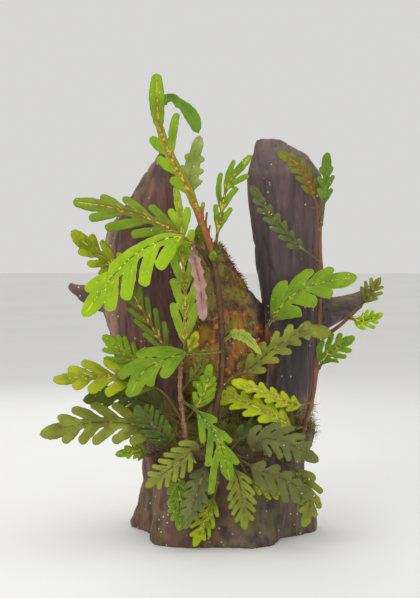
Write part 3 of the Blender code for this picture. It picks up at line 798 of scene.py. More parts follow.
def cut_sheet(field: Field, low: Span, high: Span, step: float) -> tuple[np.ndarray, Faces]:
    """Fills the inside of an outline with even triangles that end on the outline.

    Args:
        field: the signed distance to the outline, negative inside.
        low: the lowest corner of its box.
        high: the highest corner of its box.
        step: the triangles' size.

    Returns:
        The flat points and the triangles.
    """
    snap = 0.32
    flat, cells = triangle_grid(low, high, step)
    value = field(flat)
    near = np.abs(value) < snap * step
    flat[near] = settle(field, flat[near])
    value[near] = 0.0
    inside = value <= 0
    count = inside[cells].sum(axis=1)
    whole = cells[count == 3]
    middle = field(flat[whole].mean(axis=1))
    whole = whole[(middle < 0) | (value[whole].min(axis=1) < 0)]
    triangles = [tuple(cell) for cell in whole.tolist()]
    extra: list[np.ndarray] = []
    cuts: dict[tuple[int, int], int] = {}

    def crossing(inner: int, outer: int) -> int:
        """Finds the point where an edge leaves the outline, made once.

        Args:
            inner: the edge's point inside the outline.
            outer: its point outside.

        Returns:
            The number of the point between them.
        """
        if value[inner] == 0:
            return inner
        if (inner, outer) not in cuts:
            share = value[inner] / (value[inner] - value[outer])
            cuts[(inner, outer)] = len(flat) + len(extra)
            extra.append(flat[inner] + (flat[outer] - flat[inner]) * share)
        return cuts[(inner, outer)]

    for cell in cells[(count == 1) | (count == 2)].tolist():
        ring: list[int] = []
        for here, there in zip(cell, cell[1:] + cell[:1]):
            if inside[here]:
                ring.append(here)
            if inside[here] != inside[there]:
                inner, outer = (here, there) if inside[here] else (there, here)
                ring.append(crossing(inner, outer))
        ring = list(dict.fromkeys(ring))
        triangles += [(ring[0], ring[k], ring[k + 1]) for k in range(1, len(ring) - 1)]
    flat = np.vstack([flat, *extra]) if extra else flat
    used = sorted({corner for triangle in triangles for corner in triangle})
    number = {old: new for new, old in enumerate(used)}
    return flat[used], [tuple(number[corner] for corner in triangle) for triangle in triangles]


def close_sheet(upper: np.ndarray, lower: np.ndarray, triangles: Faces) -> tuple[np.ndarray, Faces]:
    """Joins the two sides of a sheet along its edge.

    Args:
        upper: the points of its top.
        lower: the points of its underside.
        triangles: the triangles of its top.

    Returns:
        The points and faces of the closed sheet.
    """
    count = len(upper)
    edges = {(t[k], t[(k + 1) % 3]) for t in triangles for k in range(3)}
    faces = list(triangles)
    faces += [(c + count, b + count, a + count) for a, b, c in triangles]
    faces += [(b, a, a + count, b + count) for a, b in edges if (b, a) not in edges]
    return np.vstack([upper, lower]), faces


# Stems


@dataclass(frozen=True)
class Stem:
    """One stem: the points its centre line runs through and its two radii."""

    name: str
    points: tuple[Triple, ...]
    radius: float
    tip_radius: float
    finish: StemFinish


@dataclass
class StemSet:
    """All the stems, with swollen rings where leaves and branches leave them.

    rooting is how deep a stem's foot runs on into the wood, and rooting_slant how far
    to the back, as a share of that. A stem in branches starts branch_root inside
    another. flare widens a stem's foot, over flare_reach of its length. node_hair and
    foot_hair say how dense root hairs are at a node, and where they end above a foot.
    """

    stems: tuple[Stem, ...]
    nodes: dict[str, list[float]]
    branches: tuple[str, ...] = ("side_shoot", "right_twig")
    facing: Triple = (0.02, -1.0, 0.03)
    sides: int = 16
    ring_step: float = 0.7
    fewest_rings: int = 8
    rooting: float = 9.0
    rooting_slant: float = 0.45
    branch_root: float = 3.0
    swelling: float = 0.28
    ring_spread: float = 1.1
    flare: float = 0.25
    flare_reach: float = 0.06
    ridge_depth: float = 0.04
    ridges: int = 4
    node_hair: float = 0.12
    foot_hair: Span = (0.02, 0.16)
    tip_swell: float = 0.6

    def rings(self, stem: Stem) -> tuple[np.ndarray, np.ndarray]:
        """Works out the rings of one stem.

        Args:
            stem: the stem.

        Returns:
            The points of its rings, and for each its share of the length, how
            much it belongs to a node, and how far it faces up.
        """
        first = np.array(stem.points[0], float)
        rooted = first + (0.0, self.rooting_slant * self.rooting, -self.rooting)
        if stem.name in self.branches:
            ahead = unit(np.diff(np.array(stem.points[:2], float), axis=0))[0]
            rooted = first - ahead * self.branch_root
        guide = Guide([tuple(rooted), *stem.points], self.facing)
        buried = float(np.linalg.norm(rooted - first))
        count = max(self.fewest_rings, int(guide.length / self.ring_step))
        along = np.linspace(0.0, guide.length, count)
        share = np.clip((along - buried) / (guide.length - buried), 0.0, 1.0)
        node = np.zeros(count)
        for at in self.nodes.get(stem.name, []):
            gap = (share - at) * (guide.length - buried)
            node = np.maximum(node, np.exp(-((gap / self.ring_spread) ** 2)))
        radius = stem.radius + (stem.tip_radius - stem.radius) * share
        flare = self.flare * fall(share, 0.0, self.flare_reach)
        radius = radius * (1 + self.swelling * node + flare)
        points, place = [], []
        for k in range(self.sides):
            angle = 2 * math.pi * k / self.sides
            ridge = 1 + self.ridge_depth * math.cos(self.ridges * angle)
            across = radius * math.cos(angle) * ridge
            height = radius * math.sin(angle) * ridge
            points.append(guide.lay(along, across, height))
            up = np.full(count, 0.5 + 0.5 * math.cos(angle))
            place.append(np.stack([share, node, up], axis=1))
        return np.stack(points, axis=1), np.stack(place, axis=1)

    def tips(self, stem: Stem, rings: np.ndarray) -> np.ndarray:
        """Finds the middles of a stem's two ends, the free one a little swollen.

        Args:
            stem: the stem.
            rings: the points of its rings.

        Returns:
            The two points, the foot's first.
        """
        tips = np.stack([rings[0].mean(axis=0), rings[-1].mean(axis=0)])
        ahead = unit((tips[1] - rings[-3].mean(axis=0))[None])[0]
        tips[1] += self.tip_swell * stem.tip_radius * ahead
        return tips

    def build(self, slots: dict[str, str]) -> bpy.types.Object:
        """Builds every stem.

        Args:
            slots: the material slot of each solid.

        Returns:
            A bare surface of all the stems, on which root hairs are planted. Its
            attribute stem_cover says how densely.
        """
        ground_points, ground_faces, cover = [], [], []
        after = [(k + 1) % self.sides for k in range(self.sides)]
        for stem in self.stems:
            rings, place = self.rings(stem)
            count = len(rings)
            last = (count - 1) * self.sides
            faces: Faces = [
                (low + k, low + k + self.sides, low + after[k] + self.sides, low + after[k])
                for low in range(0, last, self.sides)
                for k in range(self.sides)
            ]
            start = sum(len(points) for points in ground_points)
            ground_faces += [tuple(start + corner for corner in face) for face in faces]
            points = rings.reshape(-1, 3)
            ground_points.append(points)
            share, node = place[..., 0].ravel(), place[..., 1].ravel()
            at_foot = fall(share, *self.foot_hair) * (share > 0)
            cover.append(np.maximum(self.node_hair * node, at_foot))
            foot, tip = count * self.sides, count * self.sides + 1
            for k in range(self.sides):
                faces += [(foot, k, after[k]), (tip, last + after[k], last + k)]
            ends = np.array([[0.0, 0.0, 0.5], [1.0, 0.0, 0.5]])
            piece = make_piece(
                f"noded_{stem.name}", np.vstack([points, self.tips(stem, rings)]), faces,
                stem.finish.material(), {"stem_place": np.vstack([place.reshape(-1, 3), ends])},
            )
            dress(piece, slots[stem.name], stem.name)
        return make_piece(
            "stem_ground", np.vstack(ground_points), ground_faces, ROOT_HAIR.material(),
            {"stem_cover": np.concatenate(cover)},
        )


STEMS = (
    Stem(
        "main_stem",
        ((2, -34.1, 68), (3, -35.8, 84), (5.5, -37, 102), (8, -37, 117.5),
         (8, -37, 142), (5.3, -36, 174), (2, -35, 195)),
        2.3, 1.7, BROWN_BARK,
    ),
    Stem(
        "side_shoot",
        ((-1.4, -37, 191), (-6.5, -38.5, 199), (-11.3, -40, 203.3)),
        1.4, 1.2, BROWN_BARK,
    ),
    Stem(
        "left_stem",
        ((-16, -34.6, 68), (-18, -36.8, 86), (-20, -38, 105), (-19.3, -38, 121),
         (-16.5, -38.5, 130)),
        1.7, 1.3, PINK_BARK,
    ),
    Stem(
        "right_stem",
        ((36, -28.3, 68), (38, -29, 96), (39, -28, 125), (38.5, -28, 147)),
        1.7, 1.3, BROWN_BARK,
    ),
    Stem(
        "right_limb_stem",
        ((62, -23.3, 70), (70, -26.5, 102), (73, -27, 138), (74, -26, 172),
         (74, -26, 204), (72, -26, 228)),
        1.7, 1.2, RUST_BARK,
    ),
    Stem(
        "right_twig",
        ((78, -22, 140), (89, -22, 148), (102, -21, 160)),
        1.4, 1.0, RUST_BARK,
    ),
    Stem(
        "back_stem",
        ((10, 34, 68), (9, 35.3, 96), (5, 33, 128), (2, 29, 156)),
        1.9, 1.4, BROWN_BARK,
    ),
    Stem(
        "creeping_rhizome",
        ((-38, -35, 60), (-24, -38.2, 62), (-6, -40, 59), (12, -39.6, 62), (28, -39, 59), (44, -35, 60)),
        2.0, 1.6, BROWN_BARK,
    ),
)
EXTRA_NODES = {
    "main_stem": [0.15, 0.3, 0.5, 0.75],
    "left_stem": [0.1, 0.5, 0.65],
    "right_stem": [0.2, 0.5, 0.8],
    "right_limb_stem": [0.15, 0.45, 0.6],
    "back_stem": [0.1, 0.45],
    "creeping_rhizome": [0.1, 0.9],
}


# Leaves


@dataclass(frozen=True)
class Leaf:
    """One pinnatifid leaf, in the words of the solid that it takes the place of.

    stem and at say where on which stem it grows: 1 is the stem's free end.
    points are the rest of the midrib, face the way the blade's top looks.
    lobes is the number of lobe pairs, reach the length of the longest lobe,
    left and right the shares of it that the two sides have, longest where on
    the blade the longest lobe sits, wing the half width of the blade along the
    midrib, lean the angle between lobe and midrib, petiole the bare share of
    the midrib, stalk its half width, end the length of the end lobe in lobe
    spacings, fill how much of its room a lobe takes, and droop how far the tips
    of the lobes bend back from the face. margin is the widest half width where
    the right edge is nearly whole. gaps are the lobes that are left out, counted
    from the petiole, with a minus sign on the left. buds are narrow leaflets on
    the right of the petiole: how far up each sits, its length and half width.
    """

    name: str
    stem: str
    at: float
    points: tuple[Triple, ...]
    face: Triple
    lobes: int
    reach: float
    finish: LeafFinish
    wing: float = 2.4
    lean: float = 40.0
    petiole: float = 0.14
    stalk: float = 0.9
    left: float = 1.0
    right: float = 1.0
    longest: float = 0.35
    end: float = 1.2
    fill: float = 0.8
    droop: float = 0.10
    margin: float = 0.0
    gaps: tuple[int, ...] = ()
    buds: tuple[Triple, ...] = ()


LEAVES = (
    Leaf("top_leaf", "main_stem", 1.0,
         ((-5.3, -37, 216), (-14, -40, 238), (-25, -44, 258.5), (-33, -50, 281), (-34.5, -57, 312)),
         (0.3, -1, 0.1), 5, 24, TALL, wing=3.2, lean=27, petiole=0.24, stalk=2.4,
         left=0.46, longest=0.6, end=2.0, fill=0.95, droop=0.2, gaps=(1, 2, 3, 5, -1, -5),
         buds=((5, 2, 0.4), (8, 2, 0.4), (12.5, 6, 0.6), (18, 9, 0.7), (25.5, 8, 1.3))),
    Leaf("top_side_leaf", "main_stem", 0.9,
         ((-5, -29, 212), (-12, -28, 236), (-13, -27, 250), (-7, -24, 275)),
         (-0.3, -1, 0.1), 3, 4, SAGE, wing=5.6, lean=35, petiole=0.6, droop=0.2),
    Leaf("top_back_leaf", "main_stem", 0.82,
         ((-6.5, -24.5, 216), (-16, -23.5, 239), (-28, -22, 262), (-36, -21, 283), (-35, -20, 297),
          (-25, -19, 301), (-13, -20, 290), (-8, -22, 278)),
         (0, -1, 0), 2, 1.4, SAP, wing=2.8, petiole=0.76, end=1.6, droop=0.02,
         gaps=(-1, -2)),
    Leaf("top_right_leaf", "main_stem", 0.97,
         ((4, -38, 203), (8, -41, 226), (12.5, -45, 243), (26.5, -52, 260)),
         (-0.25, -1, 0.1), 3, 16, FRESH, wing=0.9, lean=26, petiole=0.26, fill=0.62,
         longest=0.6, droop=0.2),
    Leaf("front_young_leaf", "main_stem", 0.95,
         ((2.4, -40.5, 193.5), (2.3, -44, 198)),
         (0, -0.8, 0.6), 0, 3, FRESH, wing=2.6, petiole=0.4),
    Leaf("bright_left_leaf", "side_shoot", 1.0,
         ((-25, -46, 207), (-45, -52, 198.5), (-63, -56, 182), (-82, -59, 156)),
         (-0.2, -0.85, 0.5), 4, 26, BRIGHT, wing=4.4, lean=36, petiole=0.07,
         right=0.8, end=1.0, fill=0.82, droop=0.15, margin=10.0, gaps=(1, 2, 3)),
    Leaf("upper_left_leaf", "side_shoot", 0.66,
         ((-23, -37.5, 211), (-44, -38.5, 220.5), (-66, -42, 227), (-90, -45, 230.5)),
         (0, -0.85, 0.5), 3, 24, PATCHY, wing=3.2, lean=30, petiole=0.2, right=0.7,
         end=1.1, fill=0.74, droop=0.2),
    Leaf("pink_hanging_leaf", "side_shoot", 0.86,
         ((-10, -45, 192), (-6.5, -48, 176), (-4.5, -50, 153)),
         (0.25, -1, 0.1), 4, 0.5, MAUVE, wing=3.6, lean=35, petiole=0.1),
    Leaf("left_upright_leaf", "left_stem", 1.0,
         ((-17, -38.5, 145), (-16.5, -37, 168), (-18, -34, 194), (-19.5, -31, 218),
          (-23, -30, 241)),
         (0.1, -1, 0), 5, 20, SUNLIT, wing=0.9, lean=25, petiole=0.06, end=1.0, fill=0.72),
    Leaf("long_diagonal_leaf", "left_stem", 0.94,
         ((-28, -40, 131.5), (-37, -42, 146), (-46, -43, 161), (-56, -44, 180)),
         (-0.1, -1, 0.3), 4, 17, MOTTLED, wing=0.9, lean=28, petiole=0.14, fill=0.66),
    Leaf("far_left_leaf", "left_stem", 0.84,
         ((-38, -32, 146), (-56, -32, 172), (-67, -34, 190), (-78, -38, 199), (-91, -44, 211)),
         (-0.1, -1, 0.4), 3, 13, YELLOW, wing=2.8, lean=34, petiole=0.58, droop=0.2),
    Leaf("left_middle_leaf", "left_stem", 0.74,
         ((-36, -34.5, 122), (-54, -36, 127), (-71, -40, 142)),
         (0, -1, 0.3), 3, 13, FRESH, wing=2.6, lean=36, petiole=0.42, droop=0.2),
    Leaf("left_yellow_leaf", "left_stem", 0.28,
         ((-33, -45, 106), (-56, -49.5, 114), (-78, -57, 117), (-101, -65, 115)),
         (0, -0.8, 0.6), 4, 16, YELLOW, wing=2.6, lean=40, petiole=0.3, end=0.9),
    Leaf("left_shaded_leaf", "left_stem", 0.2,
         ((-42, -39, 97), (-62, -40, 102), (-84, -42, 99)),
         (0, -1, 0.2), 4, 11, PAINTED_SHADE_GREEN, wing=2.6, petiole=0.2),
    Leaf("drooping_leaf", "left_stem", 0.4,
         ((-9, -48, 93), (1, -55, 82), (7.5, -60, 70), (13, -63, 50)),
         (0.1, -1, 0.1), 3, 26, FOREST, wing=2.4, lean=30, petiole=0.24,
         left=0.45, longest=1.0, end=1.0, fill=0.68),
    Leaf("young_sprout_leaf", "left_stem", 0.9,
         ((-11.5, -41, 137), (-8.5, -43, 145)),
         (0.1, -1, 0.1), 1, 5, YELLOW, wing=1.6, petiole=0.3, lean=30),
    Leaf("lower_left_leaf", "main_stem", 0.6,
         ((-5, -46, 131), (-19, -48.5, 130.5), (-32, -51, 126), (-44, -55, 119), (-52, -59, 104)),
         (-0.1, -0.85, 0.5), 2, 21, FOREST, wing=3.6, lean=32, petiole=0.36,
         left=0.72, end=0.9, fill=0.86, droop=0.15),
    Leaf("centre_leaf", "left_stem", 0.24,
         ((-10, -42, 93), (-4.5, -45, 103), (-1.5, -47, 113), (0, -48, 124)),
         (0.2, -1, 0.1), 3, 9, FRESH, wing=1.4, lean=38, petiole=0.26),
    Leaf("inner_olive_leaf", "left_stem", 0.52,
         ((-13, -38, 112), (-6.5, -37.5, 120), (-4, -38, 133)),
         (0.1, -1, 0.1), 3, 6, OLIVE, wing=2.6, lean=34, petiole=0.24),
    Leaf("small_right_leaf", "main_stem", 0.65,
         ((16, -41, 143), (24, -44, 141), (33, -47, 131)),
         (0, -0.9, 0.4), 4, 1.2, PALE, wing=3.0, lean=30, petiole=0.16, end=1.6),
    Leaf("right_dull_leaf", "main_stem", 0.42,
         ((26, -35, 119), (44, -36, 134), (63, -39, 145), (80, -44, 143.5)),
         (0, -1, 0.3), 5, 8, OLIVE, wing=3.8, lean=34, petiole=0.2, droop=0.2),
    Leaf("right_upper_leaf", "right_stem", 1.0,
         ((53, -36, 167), (73, -42, 177), (96, -50, 181)),
         (0, -0.8, 0.6), 3, 17, FOREST, wing=4.4, lean=38, petiole=0.1, fill=0.9, droop=0.2),
    Leaf("right_yellow_leaf", "right_limb_stem", 0.16,
         ((58, -36, 95), (44, -40, 100.5), (29, -41, 107), (14.5, -40, 111.5)),
         (0.1, -1, 0.1), 5, 6, YELLOW, wing=2.8, lean=26, petiole=0.16, fill=0.95),
    Leaf("right_bright_leaf", "right_limb_stem", 0.05,
         ((55, -38, 80.5), (40, -41, 90), (24, -36.5, 96.5), (7, -27, 102), (-12, -25.5, 109)),
         (0.1, -0.8, 0.6), 6, 8, YELLOW, wing=4.4, lean=30, petiole=0.18, fill=0.95),
    Leaf("right_shaded_leaf", "creeping_rhizome", 0.61,
         ((21, -35.5, 72), (33, -34.5, 80), (48, -34.5, 84)),
         (0, -1, 0.2), 4, 8, PAINTED_SHADE_GREEN, wing=2.8, petiole=0.24),
    Leaf("right_lower_leaf", "right_limb_stem", 0.3,
         ((80, -33, 130), (96, -39, 141)),
         (0, -1, 0.2), 3, 10, FOREST, wing=3.0, petiole=0.1),
    Leaf("limb_top_olive_leaf", "right_limb_stem", 1.0,
         ((66, -30, 244), (57.5, -35, 256), (44.5, -40, 263)),
         (0.1, -1, 0.3), 4, 8, TAWNY, wing=2.0, lean=34),
    Leaf("limb_top_green_leaf", "right_limb_stem", 0.9,
         ((77, -32, 239), (77.5, -38, 263)),
         (0.3, -1, 0.1), 3, 7, SAP, wing=1.8, lean=34, petiole=0.3, droop=0.2),
    Leaf("limb_crossing_leaf", "right_limb_stem", 0.72,
         ((57, -31, 204), (42, -35, 221), (26.5, -38, 241)),
         (-0.1, -1, 0.2), 6, 9, GREYISH, wing=1.4, lean=34, petiole=0.18, right=0.55),
    Leaf("far_right_dark_leaf", "right_twig", 1.0,
         ((107, -25, 168), (114.5, -30, 180)),
         (0, -1, 0.1), 3, 8, OLIVE, wing=2.0),
    Leaf("far_right_light_leaf", "right_twig", 0.72,
         ((103, -29, 151), (115.5, -35, 156)),
         (0, -1, 0.3), 3, 7, BRIGHT, wing=2.0),
    Leaf("low_far_left_leaf", "left_stem", 0.06,
         ((-45, -48, 83), (-78, -54, 86), (-110, -60, 79)),
         (0, -0.85, 0.5), 5, 17, OLIVE, wing=3.6, petiole=0.2),
    Leaf("feathery_leaf", "creeping_rhizome", 0.16,
         ((-33, -51, 78), (-48, -56, 98)),
         (-0.1, -1, 0.1), 7, 11, PAINTED_SHADE_GREEN, wing=1.6, lean=48, fill=0.75),
    Leaf("low_small_leaf", "creeping_rhizome", 0.0,
         ((-50, -48, 66), (-62, -50, 64)),
         (0, -1, 0.2), 3, 6, FRESH, wing=1.6),
    Leaf("low_olive_leaf", "creeping_rhizome", 0.34,
         ((-12, -54, 67), (-23, -60, 59), (-42, -62, 45)),
         (0, -1, 0.1), 6, 10, KHAKI, wing=2.8, lean=44, petiole=0.16),
    Leaf("low_green_leaf", "creeping_rhizome", 0.24,
         ((-22, -51, 50), (-20, -52, 36), (-20, -52, 14)),
         (0, -1, 0), 4, 10, FOREST, wing=2.2, lean=36, petiole=0.3),
    Leaf("low_grey_leaf", "creeping_rhizome", 0.46,
         ((-3, -49, 57), (-6.5, -54.5, 46), (-11, -57, 32), (-17, -58, 16)),
         (0, -1, 0.1), 5, 6.5, GREYISH, wing=4.6, lean=40, petiole=0.2, fill=0.95),
    Leaf("low_yellow_leaf", "creeping_rhizome", 0.52,
         ((5, -50, 48), (2, -49, 34), (-4, -49, 18), (-10.5, -50, 3)),
         (0, -1, 0), 4, 10, YELLOW, wing=2.2, lean=32, petiole=0.46),
    Leaf("low_front_leaf", "creeping_rhizome", 0.58,
         ((17, -50, 52), (21, -53, 37), (23, -54, 15)),
         (0.1, -1, 0), 5, 11, OLIVE, wing=2.6, lean=38, petiole=0.24),
    Leaf("low_right_leaf", "creeping_rhizome", 0.78,
         ((34, -50, 74), (51, -57, 73), (70, -63, 62)),
         (0, -0.9, 0.4), 5, 12, FADED, wing=3.8, petiole=0.1),
    Leaf("low_right_front_leaf", "creeping_rhizome", 0.66,
         ((31, -52, 55), (48, -55, 49), (69, -57, 37)),
         (0, -1, 0.1), 4, 15, FADED, wing=2.4, lean=48, petiole=0.24, left=0.4),
    Leaf("low_right_yellow_leaf", "creeping_rhizome", 0.7,
         ((27, -46, 47), (38, -46, 41), (52, -46, 37)),
         (0, -1, 0), 3, 8, YELLOW, wing=1.8, petiole=0.4),
    Leaf("low_right_back_leaf", "creeping_rhizome", 1.0,
         ((60, -49, 50), (66, -50, 34), (62, -51, 16)),
         (0, -1, 0), 4, 9, OLIVE, wing=2.4, petiole=0.3),
    Leaf("back_top_leaf", "back_stem", 1.0,
         ((-2, 31, 172), (-10, 36, 193), (-6, 40, 217)),
         (0, 1, 0.1), 5, 14, FRESH, wing=2.4, lean=32),
    Leaf("back_left_leaf", "back_stem", 0.72,
         ((-14, 39, 136), (-34, 46, 149), (-60, 50, 146)),
         (0, 1, 0.3), 4, 15, BRIGHT, wing=2.8, lean=36),
    Leaf("back_right_leaf", "back_stem", 0.56,
         ((26, 39, 119), (45, 45, 136), (62, 50, 160)),
         (0, 1, 0.3), 4, 14, BRIGHT, wing=2.8, lean=36, petiole=0.2),
    Leaf("back_low_left_leaf", "back_stem", 0.2,
         ((-8, 47, 88), (-26, 56, 82), (-50, 60, 58)),
         (0, 1, 0.3), 5, 13, OLIVE, wing=3.0, petiole=0.2),
    Leaf("back_low_right_leaf", "back_stem", 0.3,
         ((27, 46, 92), (44, 55, 88), (66, 58, 76)),
         (0, 1, 0.3), 4, 15, FRESH, wing=3.0, petiole=0.24),
)


def leaf_root(leaf: Leaf, stem: Stem) -> np.ndarray:
    """Finds where the petiole leaves the stem's bark or its end.

    Args:
        leaf: the leaf.
        stem: the stem that it grows on.

    Returns:
        The point where the solid's petiole starts.
    """
    nearby = 0.01
    control = np.array(stem.points, float)
    spots = np.array([leaf.at, min(leaf.at + nearby, 1.0), max(leaf.at - nearby, 0.0)])
    place, ahead, behind = smooth_curve(control, spots)
    along = unit((ahead - behind)[None])[0]
    heading = unit((np.array(leaf.points[0], float) - place)[None])[0]
    turned = abs(float(heading @ along))
    if leaf.at in (0.0, 1.0):
        across = math.sqrt(max(1e-6, 1 - turned * turned))
        return place + heading * (JOINT_GAP + leaf.stalk * across) / turned
    outwards = unit((heading - along * (heading @ along))[None])[0]
    radius = stem.radius + (stem.tip_radius - stem.radius) * leaf.at
    return place + outwards * (radius + JOINT_GAP + leaf.stalk * turned)


@dataclass
class Lobe:
    """One finger of a blade: its vein, and the half width along it."""

    vein: np.ndarray
    half: np.ndarray

    def measure(self, flat: np.ndarray) -> tuple[np.ndarray, np.ndarray, np.ndarray]:
        """Measures flat points against the lobe.

        Args:
            flat: the points.

        Returns:
            The signed distance to its edge, the signed distance to its vein, and
            the share of the vein's length beside which each point lies.
        """
        edge = np.full(len(flat), FAR_AWAY)
        offset, share = np.zeros(len(flat)), np.zeros(len(flat))
        spans = len(self.vein) - 1
        for k in range(spans):
            start, run = self.vein[k], self.vein[k + 1] - self.vein[k]
            gap = flat - start
            u = np.clip(gap @ run / max(run @ run, 1e-9), 0.0, 1.0)
            away = gap - u[:, None] * run
            turn = np.sign(run[0] * gap[:, 1] - run[1] * gap[:, 0])
            distance = np.hypot(away[:, 0], away[:, 1])
            here = distance - (self.half[k] + (self.half[k + 1] - self.half[k]) * u)
            closer = here < edge
            edge = np.where(closer, here, edge)
            offset = np.where(closer, distance * turn, offset)
            share = np.where(closer, (k + u) / spans, share)
        return edge, offset, share


def blend_low(first: np.ndarray, second: np.ndarray, round_off: float) -> np.ndarray:
    """Returns the lower of two distances, with the corner between them rounded."""
    share = np.clip(0.5 + 0.5 * (second - first) / round_off, 0.0, 1.0)
    return second + (first - second) * share - round_off * share * (1 - share)


class Blade:
    """The flat outline, the veins and the bent sheet of one leaf.

    LOBE_WIDTH says how wide a lobe is at shares of its vein; END_WIDTHS and
    BUD_WIDTHS say it at even steps. WIDEST_LOBE is a share of the leaf's reach and a
    length, which together a lobe's half width stays under. MARGIN_END is where along
    the blade a nearly whole margin turns into lobes.
    """

    STEP = 0.85
    VEIN_POINTS = 7
    LOBE_WIDTH = ((0.0, 0.35, 0.75, 1.0), (0.7, 0.85, 1.02, 0.88))
    LOBE_ROOM = 1.08
    WIDEST_LOBE = (0.9, 0.6)
    REACH_DRAW = (0.9, 1.06)
    LEAN_DRAW = (-3, 3)
    END_WIDTHS = (0.75, 0.95, 1.08, 1.1, 1.0, 0.78)
    BUD_WIDTHS = (0.9, 0.85, 1.05, 1.0)
    MARGIN_END = (0.72, 0.82)
    EDGE_SLOPE = 0.92
    FINE_RIPPLE = 0.16
    LONG_RIPPLE = 0.1
    RIB_HOLLOW = 0.25
    LOBE_CUP = 0.13
    SWAY = 0.7
    BUCKLE = 0.4
    RIM_HALF = 0.09
    BODY_HALF = 0.15
    RIM_WIDTH = 0.9
    RIB_TAPER = 0.82
    LEAST_RIB = 0.1

    def __init__(self, leaf: Leaf, stem: Stem) -> None:
        """Lays out the lobes.

        Args:
            leaf: the leaf.
            stem: the stem that it grows on.
        """
        self.leaf = leaf
        self.chance = random.Random(leaf.name)
        root = leaf_root(leaf, stem)
        self.guide = Guide([tuple(root), *leaf.points], leaf.face)
        self.length = self.guide.length
        self.start = self.length * leaf.petiole
        self.pitch = (self.length - self.start) / (leaf.lobes + leaf.end)
        self.back = stem.radius + JOINT_GAP
        self.tone = self.chance.uniform(0.1, 0.9)
        self.waves = [self.chance.uniform(0, 2 * math.pi) for _ in range(4)]
        self.lobes = [
            self.lobe(k, sign, part)
            for k in range(leaf.lobes)
            for sign, part in ((1, leaf.right), (-1, leaf.left))
            if sign * (k + 1) not in leaf.gaps
        ]
        self.lobes += [self.bud(*bud) for bud in leaf.buds]
        self.lobes.append(self.tip())

    def wing(self, share: np.ndarray | float, side: np.ndarray | float) -> np.ndarray:
        """Works out how wide the blade is between two lobes.

        Args:
            share: where along the lobes.
            side: on which side of the midrib, positive on the right.

        Returns:
            Half the width.
        """
        plain = self.leaf.wing * (0.55 + 0.45 * np.sin(math.pi * (0.2 + 0.7 * share)))
        if not self.leaf.margin:
            return plain
        whole = self.leaf.margin * (0.45 + 0.55 * share)
        wide = whole + (plain - whole) * ease(np.asarray(share), *self.MARGIN_END)
        return np.where(np.asarray(side) > 0, wide, plain)

    def lobe(self, number: int, side: int, part: float) -> Lobe:
        """Lays out one lobe, on a vein that bends away from the midrib.

        Args:
            number: its number from the petiole.
            side: 1 on the right of the midrib and -1 on the left.
            part: the share of the full reach that this side has.

        Returns:
            The lobe.
        """
        leaf = self.leaf
        share = (number + 0.5) / leaf.lobes
        off = (share - leaf.longest) / max(leaf.longest, 1 - leaf.longest)
        reach = leaf.reach * (1 - 0.5 * off * off) * part
        reach = reach * self.chance.uniform(*self.REACH_DRAW)
        lean = math.radians(leaf.lean + self.chance.uniform(*self.LEAN_DRAW))
        middle = self.start + (number + 0.5) * self.pitch
        wing = float(self.wing(share, side))
        half = 0.5 * self.pitch * math.sin(math.radians(leaf.lean)) * leaf.fill * self.LOBE_ROOM
        half = min(half, self.WIDEST_LOBE[0] * leaf.reach + self.WIDEST_LOBE[1])
        heading = np.array([math.cos(lean), math.sin(lean)])
        tip = np.array([middle, wing]) + heading * max(reach - 0.9 * half, 0.2)
        base = np.array([middle - 0.42 * self.pitch, 0.0])
        bend = np.array([middle - 0.05 * self.pitch, 0.7 * wing + 0.12 * reach])
        u = np.linspace(0.0, 1.0, self.VEIN_POINTS)[:, None]
        vein = (1 - u) ** 2 * base + 2 * u * (1 - u) * bend + u**2 * tip
        return Lobe(vein * (1, side), half * np.interp(u[:, 0], *self.LOBE_WIDTH))

    def bud(self, along: float, length: float, half: float) -> Lobe:
        """Lays out a narrow leaflet on the right of the petiole.

        Args:
            along: how far up the petiole it sits.
            length: its length.
            half: half its width.

        Returns:
            The leaflet.
        """
        out = 0.8 * self.leaf.stalk
        up = np.linspace(0.0, 1.0, len(self.BUD_WIDTHS))
        vein = np.stack([along + length * up, out + (0.36 * length + 0.9) * up**1.4], axis=1)
        return Lobe(vein, half * np.array(self.BUD_WIDTHS))

    def tip(self) -> Lobe:
        """Lays out the lobe at the end of the midrib.

        Returns:
            The lobe.
        """
        leaf = self.leaf
        first = self.start + leaf.lobes * self.pitch
        half = min(0.42 * self.pitch, leaf.wing + 1.5) if leaf.lobes else leaf.wing
        widths = half * np.array(self.END_WIDTHS)
        along = np.linspace(first - 0.25 * self.pitch, self.length - 0.8 * half, len(widths))
        return Lobe(np.stack([along, np.zeros(len(widths))], axis=1), widths)

    def field(self, flat: np.ndarray) -> np.ndarray:
        """Returns the signed distance of flat points to the leaf's outline."""
        return self.measure(flat)[0]

    def ripple(self, along: np.ndarray, across: np.ndarray) -> np.ndarray:
        """Makes the outline uneven.

        Args:
            along: the distance along the midrib.
            across: the distance to its side.

        Returns:
            How far the outline moves inwards.
        """
        a, b, c, d = self.waves
        fine = self.FINE_RIPPLE * np.sin(0.55 * along + a) * np.sin(0.6 * across + b)
        return fine + self.LONG_RIPPLE * np.sin(1.3 * along + c + 0.8 * np.sin(0.7 * across + d))

